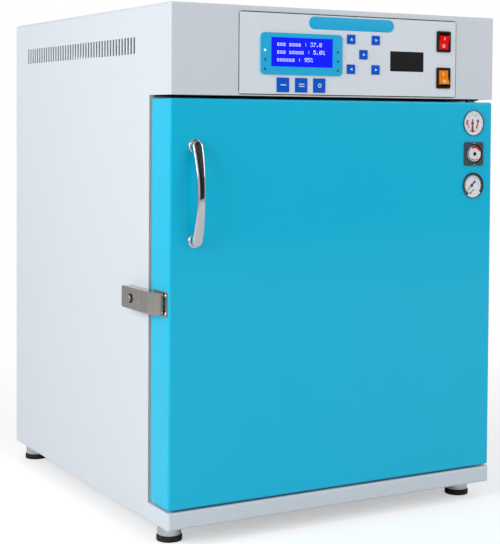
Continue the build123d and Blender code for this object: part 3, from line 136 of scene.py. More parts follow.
for lamp_name, lamp_place, lamp_size, lamp_watts in (
    ("left_softbox", (-2.5, -0.65, 1.35), 1.5, 40.0),
    ("front_softbox", (1.9, -2.4, 1.7), 1.6, 19.0),
):
    lamp_data = bpy.data.lights.new(lamp_name, "AREA")
    lamp_data.size = lamp_size
    lamp_data.energy = lamp_watts
    lamp = bpy.data.objects.new(lamp_name, lamp_data)
    towards = np.array([0, 0, 0.4]) - np.array(lamp_place)
    towards = towards / np.linalg.norm(towards)
    across = np.cross(towards, (0, 0, 1))
    across = across / np.linalg.norm(across)
    aim = np.eye(4)
    aim[:3, 0], aim[:3, 1], aim[:3, 2] = across, np.cross(across, towards), -towards
    aim[:3, 3] = lamp_place
    lamp.matrix_world = aim.T
    bpy.context.scene.collection.objects.link(lamp)

# A black card right of the camera shows in polished metal only, as the dark side of the studio.
card_left, card_right, card_front, card_low, card_high = 0.15, 1.7, -2.0, 0.24, 2.8
flag_mesh = bpy.data.meshes.new("black_flag")
flag_corners = [(card_left, card_front, card_low), (card_right, card_front, card_low),
                (card_right, card_front, card_high), (card_left, card_front, card_high)]
flag_mesh.from_pydata(flag_corners, [], [(0, 1, 2, 3)])
flag = bpy.data.objects.new("black_flag", flag_mesh)
bpy.context.scene.collection.objects.link(flag)
flag.visible_camera = flag.visible_diffuse = flag.visible_transmission = flag.visible_shadow = False
black_card = bpy.data.materials.new("black_card")
black_card.use_nodes = True
black_card.node_tree.nodes["Principled BSDF"].inputs["Base Color"].default_value = linear("#050505")
flag_mesh.materials.append(black_card)


# Painted sheet steel
# Side panels, head cover, base pan, rear panel and frame are folded sheet with a baked white powder
# coat. It gives a soft sheen, a faint orange peel and slightly rounded edges.
def finish(name, colour, roughness, metallic=0.0, **sockets):
    """A material of one Principled shader, with its uniform values on the shader's own sockets.

    A socket's value is a number, or a colour as sRGB hex.
    """
    material = bpy.data.materials.new(name)
    material.use_nodes = True
    material_shader = material.node_tree.nodes["Principled BSDF"]
    material_shader.inputs["Base Color"].default_value = linear(colour)
    material_shader.inputs["Roughness"].default_value = roughness
    material_shader.inputs["Metallic"].default_value = metallic
    for socket, value in sockets.items():
        value = linear(value) if isinstance(value, str) else value
        material_shader.inputs[socket.replace("_", " ")].default_value = value
    return material


def grain(material, size, height, clouding=0.03, cloud_size=0.09, stretch=(1, 1, 1), edge=0.0, polish=0.05):
    """Surface grain: noise cells of a real size in metres, raised by a height in metres.

    A wider noise, cloud_size across, varies the colour by the share clouding and the roughness by
    polish. stretch lengthens the cells along x, y and z, and edge is a radius that edges look rounded by.
    """
    nodes = material.node_tree
    material_shader = nodes.nodes["Principled BSDF"]
    place = add(nodes, "TexCoord").outputs["Object"]
    cells = add(nodes, "Mapping", {"Vector": place, "Scale": [1 / (size * s) for s in stretch]})
    fine = add(nodes, "TexNoise", {"Vector": cells.outputs[0], "Scale": 1.0, "Detail": 2.0})
    clouds = add(nodes, "TexNoise", {"Vector": place, "Scale": 1 / cloud_size, "Detail": 4.0})
    raised = add(nodes, "Bump", {"Height": fine.outputs[0], "Distance": height})
    if edge:
        rounded = add(nodes, "Bevel", {"Radius": edge}, samples=4)
        nodes.links.new(rounded.outputs[0], raised.inputs["Normal"])
    nodes.links.new(raised.outputs[0], material_shader.inputs["Normal"])
    colour = np.array(material_shader.inputs["Base Color"].default_value)
    dark, light = colour * (1 - clouding), np.minimum(colour * (1 + clouding), 1)
    dark[3] = light[3] = 1
    mixed = add(nodes, "Mix", {0: clouds.outputs[0], 6: dark, 7: light}, data_type="RGBA")
    nodes.links.new(mixed.outputs[2], material_shader.inputs["Base Color"])
    middle = material_shader.inputs["Roughness"].default_value
    sheen = add(nodes, "MapRange",
                {0: fine.outputs[0], 1: 0.3, 2: 0.7, 3: middle - polish, 4: middle + polish})
    nodes.links.new(sheen.outputs[0], material_shader.inputs["Roughness"])
    return material


def dress(material, *names):
    """Gives CAD nodes a material."""
    for name in names:
        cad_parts[name].data.materials.clear()
        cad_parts[name].data.materials.append(material)


# The orange peel's real cells are about 1 mm, too fine to show: they are drawn 3 mm wide.
white_coat = grain(finish("white_powder_coat", "#DBE2EA", 0.42, Coat_Weight=0.15, Coat_Roughness=0.3),
                   size=0.003, height=0.000005, clouding=0.01, edge=0.0012, polish=0.01)
dress(white_coat, "side_panel_left", "side_panel_right", "head_cover", "base_pan", "rear_panel",
      "front_frame")


# Stainless steel
# Chamber, shelves, racks, pan, fan cover and door liner are drawn or folded from brushed stainless
# sheet. The grind runs level, so its lines vary with height only. The latch is ground finer, satin.
level_grind = (900, 900, 1)
brushed = grain(finish("brushed_stainless_steel", "#C6C7C8", 0.32, 1.0), size=0.0006, height=0.0000004,
                clouding=0.02, stretch=level_grind, edge=0.0005, polish=0.03)
dress(brushed, "chamber_liner", "door_liner", "shelf_racks", "shelf_lower", "shelf_middle", "shelf_upper",
      "water_pan", "plenum_cover", "hinge_pins", "inner_door_fittings", "chamber_sensors", "port_tube")
satin_steel = grain(finish("satin_stainless_steel", "#BDB9B4", 0.2, 1.0), size=0.0006, height=0.0000006,
                    clouding=0.02, stretch=level_grind, edge=0.0012, polish=0.04)
dress(satin_steel, "latch_base", "latch_arm", "strike_plate")


# Insulation
# Yellowish glass fibre batts fill the walls, and the door has a core of the same.
fibre = grain(finish("glass_fibre_batt", "#D9C98A", 0.95), size=0.004, height=0.0015, clouding=0.12,
              cloud_size=0.03, stretch=(4, 4, 1))
dress(fibre, "fibre_insulation", "door_core")


# Fan, heater and motor
# The fan wheel is moulded in white polyamide, the ring heater is an oxidised steel tube and the motor
# is painted black.
white_moulding = grain(finish("white_polyamide", "#E6E5E0", 0.5), size=0.001, height=0.00001, clouding=0.02)
dress(white_moulding, "fan_impeller", "hinge_bushes")
heater_tube = grain(finish("oxidised_steel_tube", "#7C746C", 0.45, 1.0), size=0.002, height=0.00002,
                    clouding=0.25, cloud_size=0.02)
dress(heater_tube, "heating_element")
motor_black = grain(finish("black_motor_enamel", "#1E2022", 0.4), size=0.002, height=0.00003, clouding=0.06)
dress(motor_black, "fan_motor")


# Rear wall fittings
# Brass gas valve, black polyamide mains inlet and a pale silicone stopper in the access port.
brass = grain(finish("machined_brass", "#C9A55A", 0.28, 1.0), size=0.0008, height=0.000006, clouding=0.08,
              stretch=(1, 30, 1))
dress(brass, "gas_valve")
black_moulding = grain(finish("black_polyamide", "#0B0B0C", 0.42, Specular_IOR_Level=0.25), size=0.0012,
                       height=0.00001, clouding=0.05, edge=0.0004)
dress(black_moulding, "power_inlet", "rocker_housings", "display_window")
silicone = grain(finish("translucent_silicone", "#E8E4DA", 0.6, Subsurface_Weight=0.2), size=0.003,
                 height=0.00004, clouding=0.03)
dress(silicone, "port_stopper")


# Electronics in the head
# A green epoxy board stands behind the control panel, and a zinc-plated power supply on the deck.
board_green = grain(finish("green_epoxy_board", "#1F5E3A", 0.35, Coat_Weight=0.4), size=0.002, height=0.00002,
                    clouding=0.15, cloud_size=0.012)
dress(board_green, "control_board")
zinc = grain(finish("zinc_plated_steel", "#B4B8BC", 0.38, 1.0), size=0.004, height=0.00001, clouding=0.12,
             cloud_size=0.015, edge=0.0005)
dress(zinc, "power_supply")


# Door skin
# Folded sheet with a bright cyan enamel, baked over a primer. It is glossier than the white coat and
# shows the room in a soft sheen.
cyan_enamel = grain(finish("cyan_baked_enamel", "#02C4EC", 0.3, Coat_Weight=0.3, Coat_Roughness=0.07,
                           Specular_IOR_Level=0.25),
                    size=0.003, height=0.000004, clouding=0.012, edge=0.002, polish=0.01)
dress(cyan_enamel, "door_skin")


# Feet
# Each foot is a chromed steel sleeve on a black rubber pad, turned round an upright axis.
def grid_faces(rows, columns, wrap_rows=False, wrap_columns=False):
    """Quads between the neighbours of a grid of points. A wrapped direction joins its end to its start."""
    row, column = np.meshgrid(np.arange(rows - (not wrap_rows)), np.arange(columns - (not wrap_columns)),
                              indexing="ij")
    below, beside = (row + 1) % rows, (column + 1) % columns
    corners = (row * columns + column, below * columns + column,
               below * columns + beside, row * columns + beside)
    return np.stack(corners, -1).reshape(-1, 4)


def arc(centre, radius, start, end, steps=8):
    """Points on a circle from one angle to another, in degrees."""
    angles = np.radians(np.linspace(start, end, steps))
    return np.stack([centre[0] + radius * np.cos(angles), centre[1] + radius * np.sin(angles)], -1)


def turned(profile, places, axis=(0, 0, 1), steps=72):
    """Surfaces of revolution: profile points (radius, height) go round an axis through each place."""
    profile, axis = np.asarray(profile, float), np.asarray(axis, float)
    side = np.array([1.0, 0, 0]) if abs(axis[0]) < 0.5 else np.array([0, 1.0, 0])
    angles = np.linspace(0, 2 * np.pi, steps, endpoint=False)[:, None]
    spokes = np.cos(angles) * side + np.sin(angles) * np.cross(axis, side)
    rings = profile[:, 0, None, None] * spokes + profile[:, 1, None, None] * axis
    points = (np.asarray(places, float)[:, None, None] + rings).reshape(-1, 3)
    faces = grid_faces(len(profile), steps, wrap_columns=True)
    starts = np.arange(len(places))[:, None, None] * len(profile) * steps
    return points, (starts + faces).reshape(-1, 4)


def make_piece(name, shape, material, body, crease=32):
    """One piece from points and faces: doubles merged, faces outwards, smooth below a crease angle."""
    points, faces = shape
    mesh = bpy.data.meshes.new(name)
    mesh.from_pydata(points.tolist(), [], faces if isinstance(faces, list) else faces.tolist())
    work = bmesh.new()
    work.from_mesh(mesh)
    bmesh.ops.remove_doubles(work, verts=work.verts, dist=1e-6)
    bmesh.ops.dissolve_degenerate(work, edges=work.edges, dist=1e-7)
    bmesh.ops.recalc_face_normals(work, faces=work.faces)
    work.to_mesh(mesh)
    work.free()
    mesh.shade_smooth()
    mesh.set_sharp_from_angle(angle=np.radians(crease))
    mesh.materials.append(material)
    piece = bpy.data.objects.new(name, mesh)
    bpy.context.scene.collection.objects.link(piece)
    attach(piece, body)
    return piece


chrome = grain(finish("polished_chrome", "#E2E3E6", 0.07, 1.0), size=0.004, height=0.000002, clouding=0.02,
               polish=0.02)
rubber = grain(finish("black_moulded_rubber", "#161616", 0.75), size=0.0015, height=0.00005, clouding=0.15,
               cloud_size=0.02)
pad_low, pad_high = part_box("foot_pads")
sleeve_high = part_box("foot_sleeves")[1]
pad_radius, sleeve_radius = 0.018, 0.0165
foot_places = [(x, y, 0) for x in (pad_low.x + pad_radius, pad_high.x - pad_radius)
               for y in (pad_low.y + pad_radius, pad_high.y - pad_radius)]
pad_top = pad_high.z
pad_profile = np.concatenate([[(0, 0)], arc((pad_radius - 0.001, 0.001), 0.001, -90, 0, 4),
                              arc((pad_radius - 0.0015, pad_top - 0.0015), 0.0015, 0, 90, 6), [(0, pad_top)]])
pads = make_piece("rubber_pads", turned(pad_profile, foot_places), rubber, "cabinet")
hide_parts("foot_pads")
sleeve_profile = np.concatenate([
    [(0, pad_top)], arc((sleeve_radius - 0.001, pad_top + 0.001), 0.001, -90, 0, 4),
    [(sleeve_radius, sleeve_high.z - 0.0045)],
    arc((sleeve_radius + 0.0008, sleeve_high.z - 0.0037), 0.0008, 180, 90, 4),
    [(sleeve_radius + 0.0008, sleeve_high.z), (0, sleeve_high.z)]])
sleeves = make_piece("chrome_sleeves", turned(sleeve_profile, foot_places), chrome, "cabinet")
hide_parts("foot_sleeves")


# Glass door
# A pane of toughened float glass with ground edges closes the chamber. It is thin and clear, so it is
# drawn as a faint green film that mirrors the room at a slant.
clear_glass = finish("toughened_float_glass", "#D5EAE4", 0.03, Alpha=0.16, IOR=1.5, Specular_IOR_Level=0.6)
tree = clear_glass.node_tree
edge_on = add(tree, "LayerWeight", {"Blend": 0.25})
film = add(tree, "MapRange", {0: edge_on.outputs["Facing"], 3: 0.12, 4: 0.75})
tree.links.new(film.outputs[0], tree.nodes["Principled BSDF"].inputs["Alpha"])
dress(clear_glass, "inner_door_glass")


# Door gasket
# A hollow strip of soft grey rubber runs round the door's back, snapped into a groove by its foot. Its
# face is a rounded lip with a groove at each side.
def swept_frame(low, high, corner, profile, steps=10):
    """A strip round an upright rectangle with rounded corners.

    profile points are (inwards, back): how far in from the rectangle, and the place along y. The path
    is four quarter circles of the corner's radius, joined by the straight sides between them.
    """
    centres = [(high[0] - corner, high[1] - corner, 0), (low[0] + corner, high[1] - corner, 90),
               (low[0] + corner, low[1] + corner, 180), (high[0] - corner, low[1] + corner, 270)]
    spread = np.linspace(0, 90, steps)
    angles = np.radians(np.concatenate([start + spread for _, _, start in centres]))
    middles = np.repeat(np.array([(x, z) for x, z, _ in centres]), steps, axis=0)
    profile = np.asarray(profile, float)
    reach = corner - profile[:, 0]
    x = middles[:, 0, None] + reach * np.cos(angles)[:, None]
    z = middles[:, 1, None] + reach * np.sin(angles)[:, None]
    y = np.broadcast_to(profile[:, 1], x.shape)
    points = np.stack([x, y, z], -1).reshape(-1, 3)
    return points, grid_faces(len(angles), len(profile), wrap_rows=True, wrap_columns=True)


seal_rubber = grain(finish("grey_seal_rubber", "#262A2E", 0.65), size=0.001, height=0.00002, clouding=0.08,
                    cloud_size=0.03)
gasket_low, gasket_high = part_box("door_gasket")
gasket_width, lip_radius, gasket_corner = 0.018, 0.0022, 0.0185
gasket_front, gasket_back = gasket_low.y, gasket_high.y
gasket_profile = np.concatenate([
    [(0.002, gasket_front), (0.002, gasket_front + 0.002)],
    arc((0.0025, gasket_back - lip_radius), lip_radius, 200, 90, 7),
    arc((gasket_width / 2, gasket_back + 0.0012), lip_radius, 215, 325, 7),
    arc((gasket_width - 0.0025, gasket_back - lip_radius), lip_radius, 90, -20, 7),
    [(gasket_width - 0.002, gasket_front + 0.002), (gasket_width - 0.002, gasket_front)]])
gasket_loop = swept_frame((gasket_low.x, gasket_low.z), (gasket_high.x, gasket_high.z), gasket_corner,
                          gasket_profile)
gasket = make_piece("bellows_gasket", gasket_loop, seal_rubber, "door")
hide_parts("door_gasket")


# Painted shade above the door
# A thin black strip under the head's front edge is painted shade: it darkens the gap above the door. It
# ends short of the hinge and stays clear of the door's top.
box_sides = np.array([[0, 1, 3, 2], [4, 6, 7, 5], [0, 4, 5, 1], [2, 3, 7, 6], [0, 2, 6, 4], [1, 5, 7, 3]])


def slab(low, high):
    """A plain box from its low and high corners: eight corners and six faces."""
    corners = np.array([[(low, high)[i][0], (low, high)[j][1], (low, high)[k][2]]
                        for i in (0, 1) for j in (0, 1) for k in (0, 1)])
    return corners, box_sides


# A plain black that is painted shade in the gap above the door.
gap_shade_black = grain(finish("painted_gap_shade", "#060606", 0.95, Specular_IOR_Level=0.1), size=0.002, height=0.0001,
             clouding=0.2, cloud_size=0.01)
head_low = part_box("head_cover")[0]
pin_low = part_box("hinge_pins")[0]
strip_thickness, strip_depth, strip_inset = 0.0022, 0.054, 0.003
strip = slab((head_low.x + strip_inset, head_low.y + strip_inset, head_low.z - strip_thickness),
             (pin_low.x - strip_inset, head_low.y + strip_inset + strip_depth, head_low.z + 0.0001))
# This black slab is painted shade in the gap above the door.
make_piece("gap_shade_strip", strip, gap_shade_black, "cabinet")


# Handle
# A bow handle: a flat steel bar with rounded edges, narrower in its middle, bent forward, chromed and
# screwed to the door through a round rosette at each end.
def bow_bar(centre_x, low_z, high_z, end_y, middle_y, end_width, waist_width, thickness,
            steps=97, round_steps=28):
    """A bar along z that bows towards -y.

    Along the bar, u runs from -1 to 1. The bow is y = middle + (end - middle) u^2, the width goes from
    waist to end as a cosine and closes in a half circle at each end, and the section is a superellipse.
    """
    u = np.sin(np.linspace(-np.pi / 2, np.pi / 2, steps))
    z = (low_z + high_z) / 2 + u * (high_z - low_z) / 2
    y = middle_y + (end_y - middle_y) * u ** 2
    half_width = (waist_width + (end_width - waist_width) * np.sin(np.abs(u) * np.pi / 2) ** 2) / 2
    from_end = np.minimum(z - low_z, high_z - z) / (end_width / 2)
    close = np.sqrt(1 - (1 - np.clip(from_end, 0, 1)) ** 2)
    angle = np.linspace(0, 2 * np.pi, round_steps, endpoint=False)
    square_x = np.sign(np.cos(angle)) * np.abs(np.cos(angle)) ** 0.55
    square_y = np.sign(np.sin(angle)) * np.abs(np.sin(angle)) ** 0.55
    x = centre_x + (half_width * close)[:, None] * square_x
    depth = (thickness / 2 * np.clip(close * 2.2, 0, 1))[:, None] * square_y
    points = np.stack([x, y[:, None] + depth, np.broadcast_to(z[:, None], x.shape)], -1)
    return points.reshape(-1, 3), grid_faces(steps, round_steps, wrap_columns=True)


handle_low, handle_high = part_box("handle_bar")
bar_thickness, bar_waist = 0.005, 0.011
handle_x = (handle_low.x + handle_high.x) / 2
bow = bow_bar(handle_x, handle_low.z, handle_high.z, handle_high.y - bar_thickness / 2,
              handle_low.y + bar_thickness / 2, handle_high.x - handle_low.x, bar_waist, bar_thickness)
handle = make_piece("bow_handle", bow, chrome, "door", crease=50)
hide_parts("handle_bar")
post_low, post_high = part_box("handle_posts")
rosette_radius = (post_high.x - post_low.x) / 2
rosette_thickness = post_high.y - post_low.y
rosette_places = [(handle_x, post_high.y, z)
                  for z in (post_low.z + rosette_radius, post_high.z - rosette_radius)]
rosette_profile = np.concatenate([
    [(0, 0), (rosette_radius, 0)], [(rosette_radius, 0.0008)],
    arc((rosette_radius - 0.0018, rosette_thickness - 0.0022), 0.0018, 0, 90, 8), [(0, rosette_thickness)]])
rosettes = make_piece("handle_rosettes", turned(rosette_profile, rosette_places, axis=(0, -1, 0)), chrome,
                      "door")
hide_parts("handle_posts")


# Gauge cases
# Two round instruments sit in the door: a spun bezel of darkened steel, with a rolled rim that stands
# 1.8 mm proud of the door, round a white enamelled dial.
case_low, case_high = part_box("gauge_cases")
bezel_radius = (case_high.x - case_low.x) / 2
gauge_x = (case_low.x + case_high.x) / 2
gauge_places = [(gauge_x, 0, z) for z in (case_high.z - bezel_radius, case_low.z + bezel_radius)]
door_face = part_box("door_skin")[0].y
bezel_front = case_low.y
bore_radius, body_radius, dial_depth = 0.0186, 0.0189, 0.003
rim_thickness = bezel_radius - bore_radius
case_profile = np.concatenate([
    [(0, door_face + dial_depth), (bore_radius, door_face + dial_depth)],
    arc((bore_radius + rim_thickness / 2, bezel_front + rim_thickness / 2), rim_thickness / 2, 180, 360, 10),
    [(bezel_radius, door_face), (body_radius, door_face), (body_radius, case_high.y), (0, case_high.y)]])
dark_steel = grain(finish("darkened_steel", "#6F747C", 0.22, 1.0), size=0.002, height=0.000002, clouding=0.05)
cases = make_piece("gauge_bezels", turned(case_profile, gauge_places, axis=(0, 1, 0), steps=96),
                   dark_steel, "door")
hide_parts("gauge_cases")


# Dials
# Thin discs of sheet aluminium, stove-enamelled white, with printed bands, ticks and plain numbers. A
# raised ring close behind the glass carries the outer scale. All angles are clockwise from the top, in
# degrees, and each print stands in front of its dial by the thickness of the ink.
def flat_rings(centre, bands, front, back, steps_per_degree=0.25):
    """Thin plates cut from rings about a centre.

    Each band is (inner radius, outer radius, start, end). A point is centre + r (sin a, cos a) in x and
    z, on a grid of 2 radii by the band's angles, repeated at the front and the back plane.
    """
    all_points, all_faces, count = [], [], 0
    for inner, outer, start, end in bands:
        columns = max(2, int(abs(end - start) * steps_per_degree) + 2)
        angles = np.radians(np.linspace(start, end, columns))
        radii = np.array([inner, outer, outer, inner])[:, None]
        depths = np.array([front, front, back, back])[:, None]
        x = centre[0] + radii * np.sin(angles)
        z = centre[2] + radii * np.cos(angles)
        points = np.stack([x, np.broadcast_to(depths, x.shape), z], -1).reshape(-1, 3)
        walls = grid_faces(4, columns, wrap_rows=True)
        ends = np.array([[0, columns, 2 * columns, 3 * columns],
                         [columns - 1, 4 * columns - 1, 3 * columns - 1, 2 * columns - 1]])
        all_points.append(points)
        all_faces.append(np.concatenate([walls, ends]) + count)
        count += len(points)
    return np.concatenate(all_points), np.concatenate(all_faces)


def joined(*shapes):
    """Several shapes of points and faces as one."""
    starts = np.cumsum([0] + [len(points) for points, _ in shapes[:-1]])
    return (np.concatenate([points for points, _ in shapes]),
            np.concatenate([faces + start for (_, faces), start in zip(shapes, starts)]))


dial_white = grain(finish("white_stove_enamel", "#F4F8FF", 0.45), size=0.002, height=0.000001, clouding=0.005)
dial_sheet, ink = 0.0002, 0.00006
dial_back = door_face + dial_depth
dial_face = dial_back - dial_sheet
ring_inner, dial_radius, ring_face = 0.0139, bore_radius - 0.0003, door_face - 0.0001
dial_profile = [(0, dial_face), (dial_radius, dial_face), (dial_radius, dial_back), (0, dial_back)]
make_piece("dial_plates", turned(dial_profile, gauge_places, axis=(0, 1, 0), steps=96), dial_white, "door")
ring_profile = [(ring_inner, dial_face), (ring_inner, ring_face), (dial_radius, ring_face),
                (dial_radius, dial_face), (ring_inner, dial_face)]
make_piece("chapter_rings", turned(ring_profile, gauge_places, axis=(0, 1, 0), steps=96), dial_white, "door")
dial_print, ring_print = (dial_face - ink, dial_face), (ring_face - ink, ring_face)
upper, lower = gauge_places
red_ink = grain(finish("red_printing_ink", "#E01014", 0.5), size=0.001, height=0.000003, clouding=0.05)
black_ink = grain(finish("black_printing_ink", "#080808", 0.5), size=0.001, height=0.000003, clouding=0.05)
grey_ink = grain(finish("grey_printing_ink", "#4A4C50", 0.5), size=0.001, height=0.000003, clouding=0.05)
red_bands = [(0.0080, 0.0098, -140, -62), (0.0088, 0.0114, 60, 140)]
make_piece("red_dial_bands", flat_rings(upper, red_bands, *dial_print), red_ink, "door")
tick, scale_step = 0.7, 13.5
dark_bands = [(0.0102, 0.0124, -104, -64), (0.0122, 0.0134, 150, 210), (0.0112, 0.0128, 64, 80)]
dark_bands += [(0.0120, 0.0136, a - tick, a + tick) for a in range(-135, 136, 27)]
segments = [(0.0145, 0.0183, a + 1.7, a + 11.8) for a in np.arange(-128, 120, scale_step)]
segments += [(0.0167, 0.0183, -128, 124), (0.0141, 0.0183, -145, -129)]
make_piece("black_dial_marks",
           joined(flat_rings(upper, dark_bands, *dial_print), flat_rings(lower, segments, *ring_print)),
           black_ink, "door")
fine_ticks = [(0.0150, 0.0166, a - tick / 2, a + tick / 2) for a in np.arange(-135, 136, 9)]
dotted = [(0.0128, 0.0134, a - tick, a + tick) for a in np.arange(-125, 121, scale_step)]
make_piece("grey_dial_ticks",
           joined(flat_rings(upper, fine_ticks, *ring_print), flat_rings(lower, dotted, *dial_print)),
           grey_ink, "door")


def lettering(labels, height, face_y):
    """Plain figures as plates of ink on a face that looks towards -y: labels are (text, x, z)."""
    points, faces, count = [], [], 0
    for text, x, z in labels:
        curve = bpy.data.curves.new("figure", "FONT")
        curve.body = text
        curve.size = height
        curve.align_x, curve.align_y = "CENTER", "CENTER"
        curve.extrude = ink / 2
        curve.resolution_u = 3
        writer = bpy.data.objects.new("figure", curve)
        mesh = bpy.data.meshes.new_from_object(writer)
        flat = np.zeros(len(mesh.vertices) * 3)
        mesh.vertices.foreach_get("co", flat)
        flat = flat.reshape(-1, 3)
        points.append(np.stack([x + flat[:, 0], face_y - ink / 2 - flat[:, 2], z + flat[:, 1]], -1))
        faces += [[i + count for i in polygon.vertices] for polygon in mesh.polygons]
        count += len(flat)
        bpy.data.objects.remove(writer)
        bpy.data.meshes.remove(mesh)
    return np.concatenate(points), faces


number_radius, number_height = 0.0112, 0.0026
number_angles = np.radians(np.arange(-135, 136, 54))
dial_numbers = [(str(2 * number), centre[0] + number_radius * np.sin(angle),
                 centre[2] + number_radius * np.cos(angle))
                for centre in gauge_places for number, angle in enumerate(number_angles)]
make_piece("dial_numbers", lettering(dial_numbers, number_height, dial_face), grey_ink, "door")


# Needles and lenses
# Stamped aluminium needles on turned hubs, under flat glass held by the bezel. The upper needle points
# down; the lower one has a short heavy tail, and a fixed set pointer stands beside it.
def blade(centre, pointing, tip, tail, widths, front, thickness):
    """A flat tapered pointer: widths at the tip, the hub and the tail, turned clockwise by pointing."""
    along = np.array([tip, 0, -tail])
    half = np.asarray(widths) / 2
    angle = np.radians(pointing)
    ahead, aside = np.array([np.sin(angle), np.cos(angle)]), np.array([np.cos(angle), -np.sin(angle)])
    left = along[:, None] * ahead - half[:, None] * aside
    rightwards = along[:, None] * ahead + half[:, None] * aside
    outline = np.concatenate([left, rightwards[::-1]]) + np.array([centre[0], centre[2]])
    count = len(outline)
    depths = np.repeat([front, front + thickness], count)
    points = np.stack([np.tile(outline[:, 0], 2), depths, np.tile(outline[:, 1], 2)], -1)
    walls = grid_faces(2, count, wrap_columns=True)
    lids = np.array([[0, 1, 4, 5], [1, 2, 3, 4], [6, 11, 10, 7], [7, 10, 9, 8]])
    return points, np.concatenate([walls, lids])


needle_black = grain(finish("black_anodised_aluminium", "#141416", 0.4, 0.3), size=0.001, height=0.000003,
                     clouding=0.05)
needle_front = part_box("gauge_needle_upper")[0].y
needle_red = grain(finish("red_lacquered_aluminium", "#8E1B22", 0.35), size=0.001, height=0.000003,
                   clouding=0.05)
hub_profile = [(0, 0), (0.0022, 0), (0.0022, 0.0005), (0.0016, 0.0009), (0, 0.0010)]
needle_length, needle_sheet = 0.0135, 0.0004
for side, centre, pointing, tail, widths, material in (
    ("upper", upper, 180, 0.006, (0.0034, 0.0014, 0.0012), needle_red),
    ("lower", lower, 225, 0.0088, (0.0003, 0.0008, 0.0030), needle_black),
):
    hub_place = [(centre[0], needle_front + 0.0014, centre[2])]
    shape = joined(blade(centre, pointing, needle_length, tail, widths, needle_front + 0.0009, needle_sheet),
                   turned(hub_profile, hub_place, axis=(0, -1, 0), steps=32))
    needle = make_piece(f"{side}_needle_blade", shape, material, f"{side}_needle")
    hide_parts(f"gauge_needle_{side}")
pointer_front, pointer_width, bulb_radius = dial_face - 0.0005, 0.0008, 0.0017
pointer_start = (lower[0] + 0.0040, 0, lower[2] - 0.0060)
pointer_bulb = (lower[0] - 0.0030, pointer_front, lower[2] - 0.0126)
bulb_profile = [(0, 0), (bulb_radius, 0), (bulb_radius, needle_sheet), (0, needle_sheet)]
set_pointer = joined(blade(pointer_start, 226, 0.0096, 0.0, [pointer_width] * 3, pointer_front, needle_sheet),
                     turned(bulb_profile, [pointer_bulb], axis=(0, 1, 0), steps=20))
make_piece("set_pointer", set_pointer, needle_black, "door")
lens_glass = grain(finish("instrument_glass", "#EAF4F4", 0.03, Alpha=0.01, IOR=1.2), size=0.01,
                   height=0.000001, clouding=0.01, polish=0.01)
dress(lens_glass, "gauge_lenses")


# Pressure regulator
# A die-cast square plate, painted dark grey, with a black dish, and a turned aluminium knob with a
# black rim and cap. A red sector on the knob and fine ticks on the plate mark the setting.
dark_casting = grain(finish("grey_painted_casting", "#3D4450", 0.42), size=0.0015, height=0.00004,
                     clouding=0.06, cloud_size=0.02, edge=0.0006)
dress(dark_casting, "regulator")
knob_low, knob_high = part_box("regulator_knob")
knob_x = (knob_low.x + knob_high.x) / 2
knob_z = (knob_low.z + knob_high.z) / 2
knob_radius = (knob_high.x - knob_low.x) / 2
knob_front = knob_low.y
knob_height, disc_radius = 0.0025, 0.0113
shaft_radius, shaft_length, recess_depth = 0.003, 0.009, 0.0011
edge_radius = 0.0008
flute_count, flute_depth = 60, 0.0004


def fluted(points, centre, depth, inner):
    """Flutes a turned piece: radii beyond inner shrink by depth (1 - |cos|) round the rim."""
    x, z = points[:, 0] - centre[0], points[:, 2] - centre[1]
    radius, angle = np.hypot(x, z), np.arctan2(z, x)
    cut = np.where(radius > inner, depth * (1 - np.abs(np.cos(angle * flute_count / 2))), 0)
    scale = np.where(radius > 0, (radius - cut) / np.maximum(radius, 1e-9), 1)
    return np.stack([centre[0] + x * scale, points[:, 1], centre[1] + z * scale], -1)


knob_profile = np.concatenate([
    [(0, recess_depth), (shaft_radius, recess_depth), (shaft_radius, 0), (knob_radius - 1.5 * edge_radius, 0)],
    arc((knob_radius - edge_radius, edge_radius), edge_radius, -90, 0, 6),
    [(knob_radius, knob_height), (shaft_radius, knob_height), (shaft_radius, knob_height + shaft_length),
     (0, knob_height + shaft_length)]])
knob_points, knob_faces = turned(knob_profile, [(knob_x, knob_front, knob_z)], axis=(0, 1, 0), steps=360)
knob_points = fluted(knob_points, (knob_x, knob_z), flute_depth, knob_radius - 0.0005)
satin_aluminium = grain(finish("turned_aluminium", "#F2F4F6", 0.4, 0.45), size=0.0006, height=0.000004,
                        clouding=0.04)
knob = make_piece("regulator_dial", (knob_points, knob_faces), satin_aluminium, "regulator_knob",
                  crease=25)
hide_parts("regulator_knob")
cap_profile = [(0, -0.0003), (0.0024, -0.0003), (0.0029, 0), (0.0029, 0.0012), (0, 0.0012)]
make_piece("knob_cap", turned(cap_profile, [(knob_x, knob_front, knob_z)], axis=(0, 1, 0), steps=40),
           black_moulding, "regulator_knob")
knob_centre, knob_print = (knob_x, 0, knob_z), (knob_front - ink, knob_front + 0.0001)
whole_turn = (0, 359.9)
red_sector = flat_rings(knob_centre, [(0.0084, disc_radius, -30, 66)], *knob_print)
make_piece("knob_red_sector", red_sector, red_ink, "regulator_knob")
dark_bands = [(0.0088, 0.0100, 140, 222), (disc_radius, knob_radius - 0.0003, *whole_turn)]
make_piece("knob_dark_arcs", flat_rings(knob_centre, dark_bands, *knob_print), black_ink, "regulator_knob")
plate_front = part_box("regulator")[0].y
dish_floor, dish_radius = plate_front + 0.0015, 0.0149
dish_lining = flat_rings(knob_centre, [(0.0040, dish_radius, *whole_turn)], dish_floor - 0.0001,
                         dish_floor + 0.0001)
make_piece("dish_lining", dish_lining, black_ink, "door")
pale_ink = grain(finish("pale_printing_ink", "#C9CED4", 0.5), size=0.001, height=0.000003, clouding=0.05)
plate_ticks = [(0.0154, 0.0166, a - 2.2, a + 2.2) for a in (-4, 4, 176, 184)]
make_piece("plate_ticks", flat_rings(knob_centre, plate_ticks, plate_front - 0.00005, plate_front + 0.0001),
           pale_ink, "door")
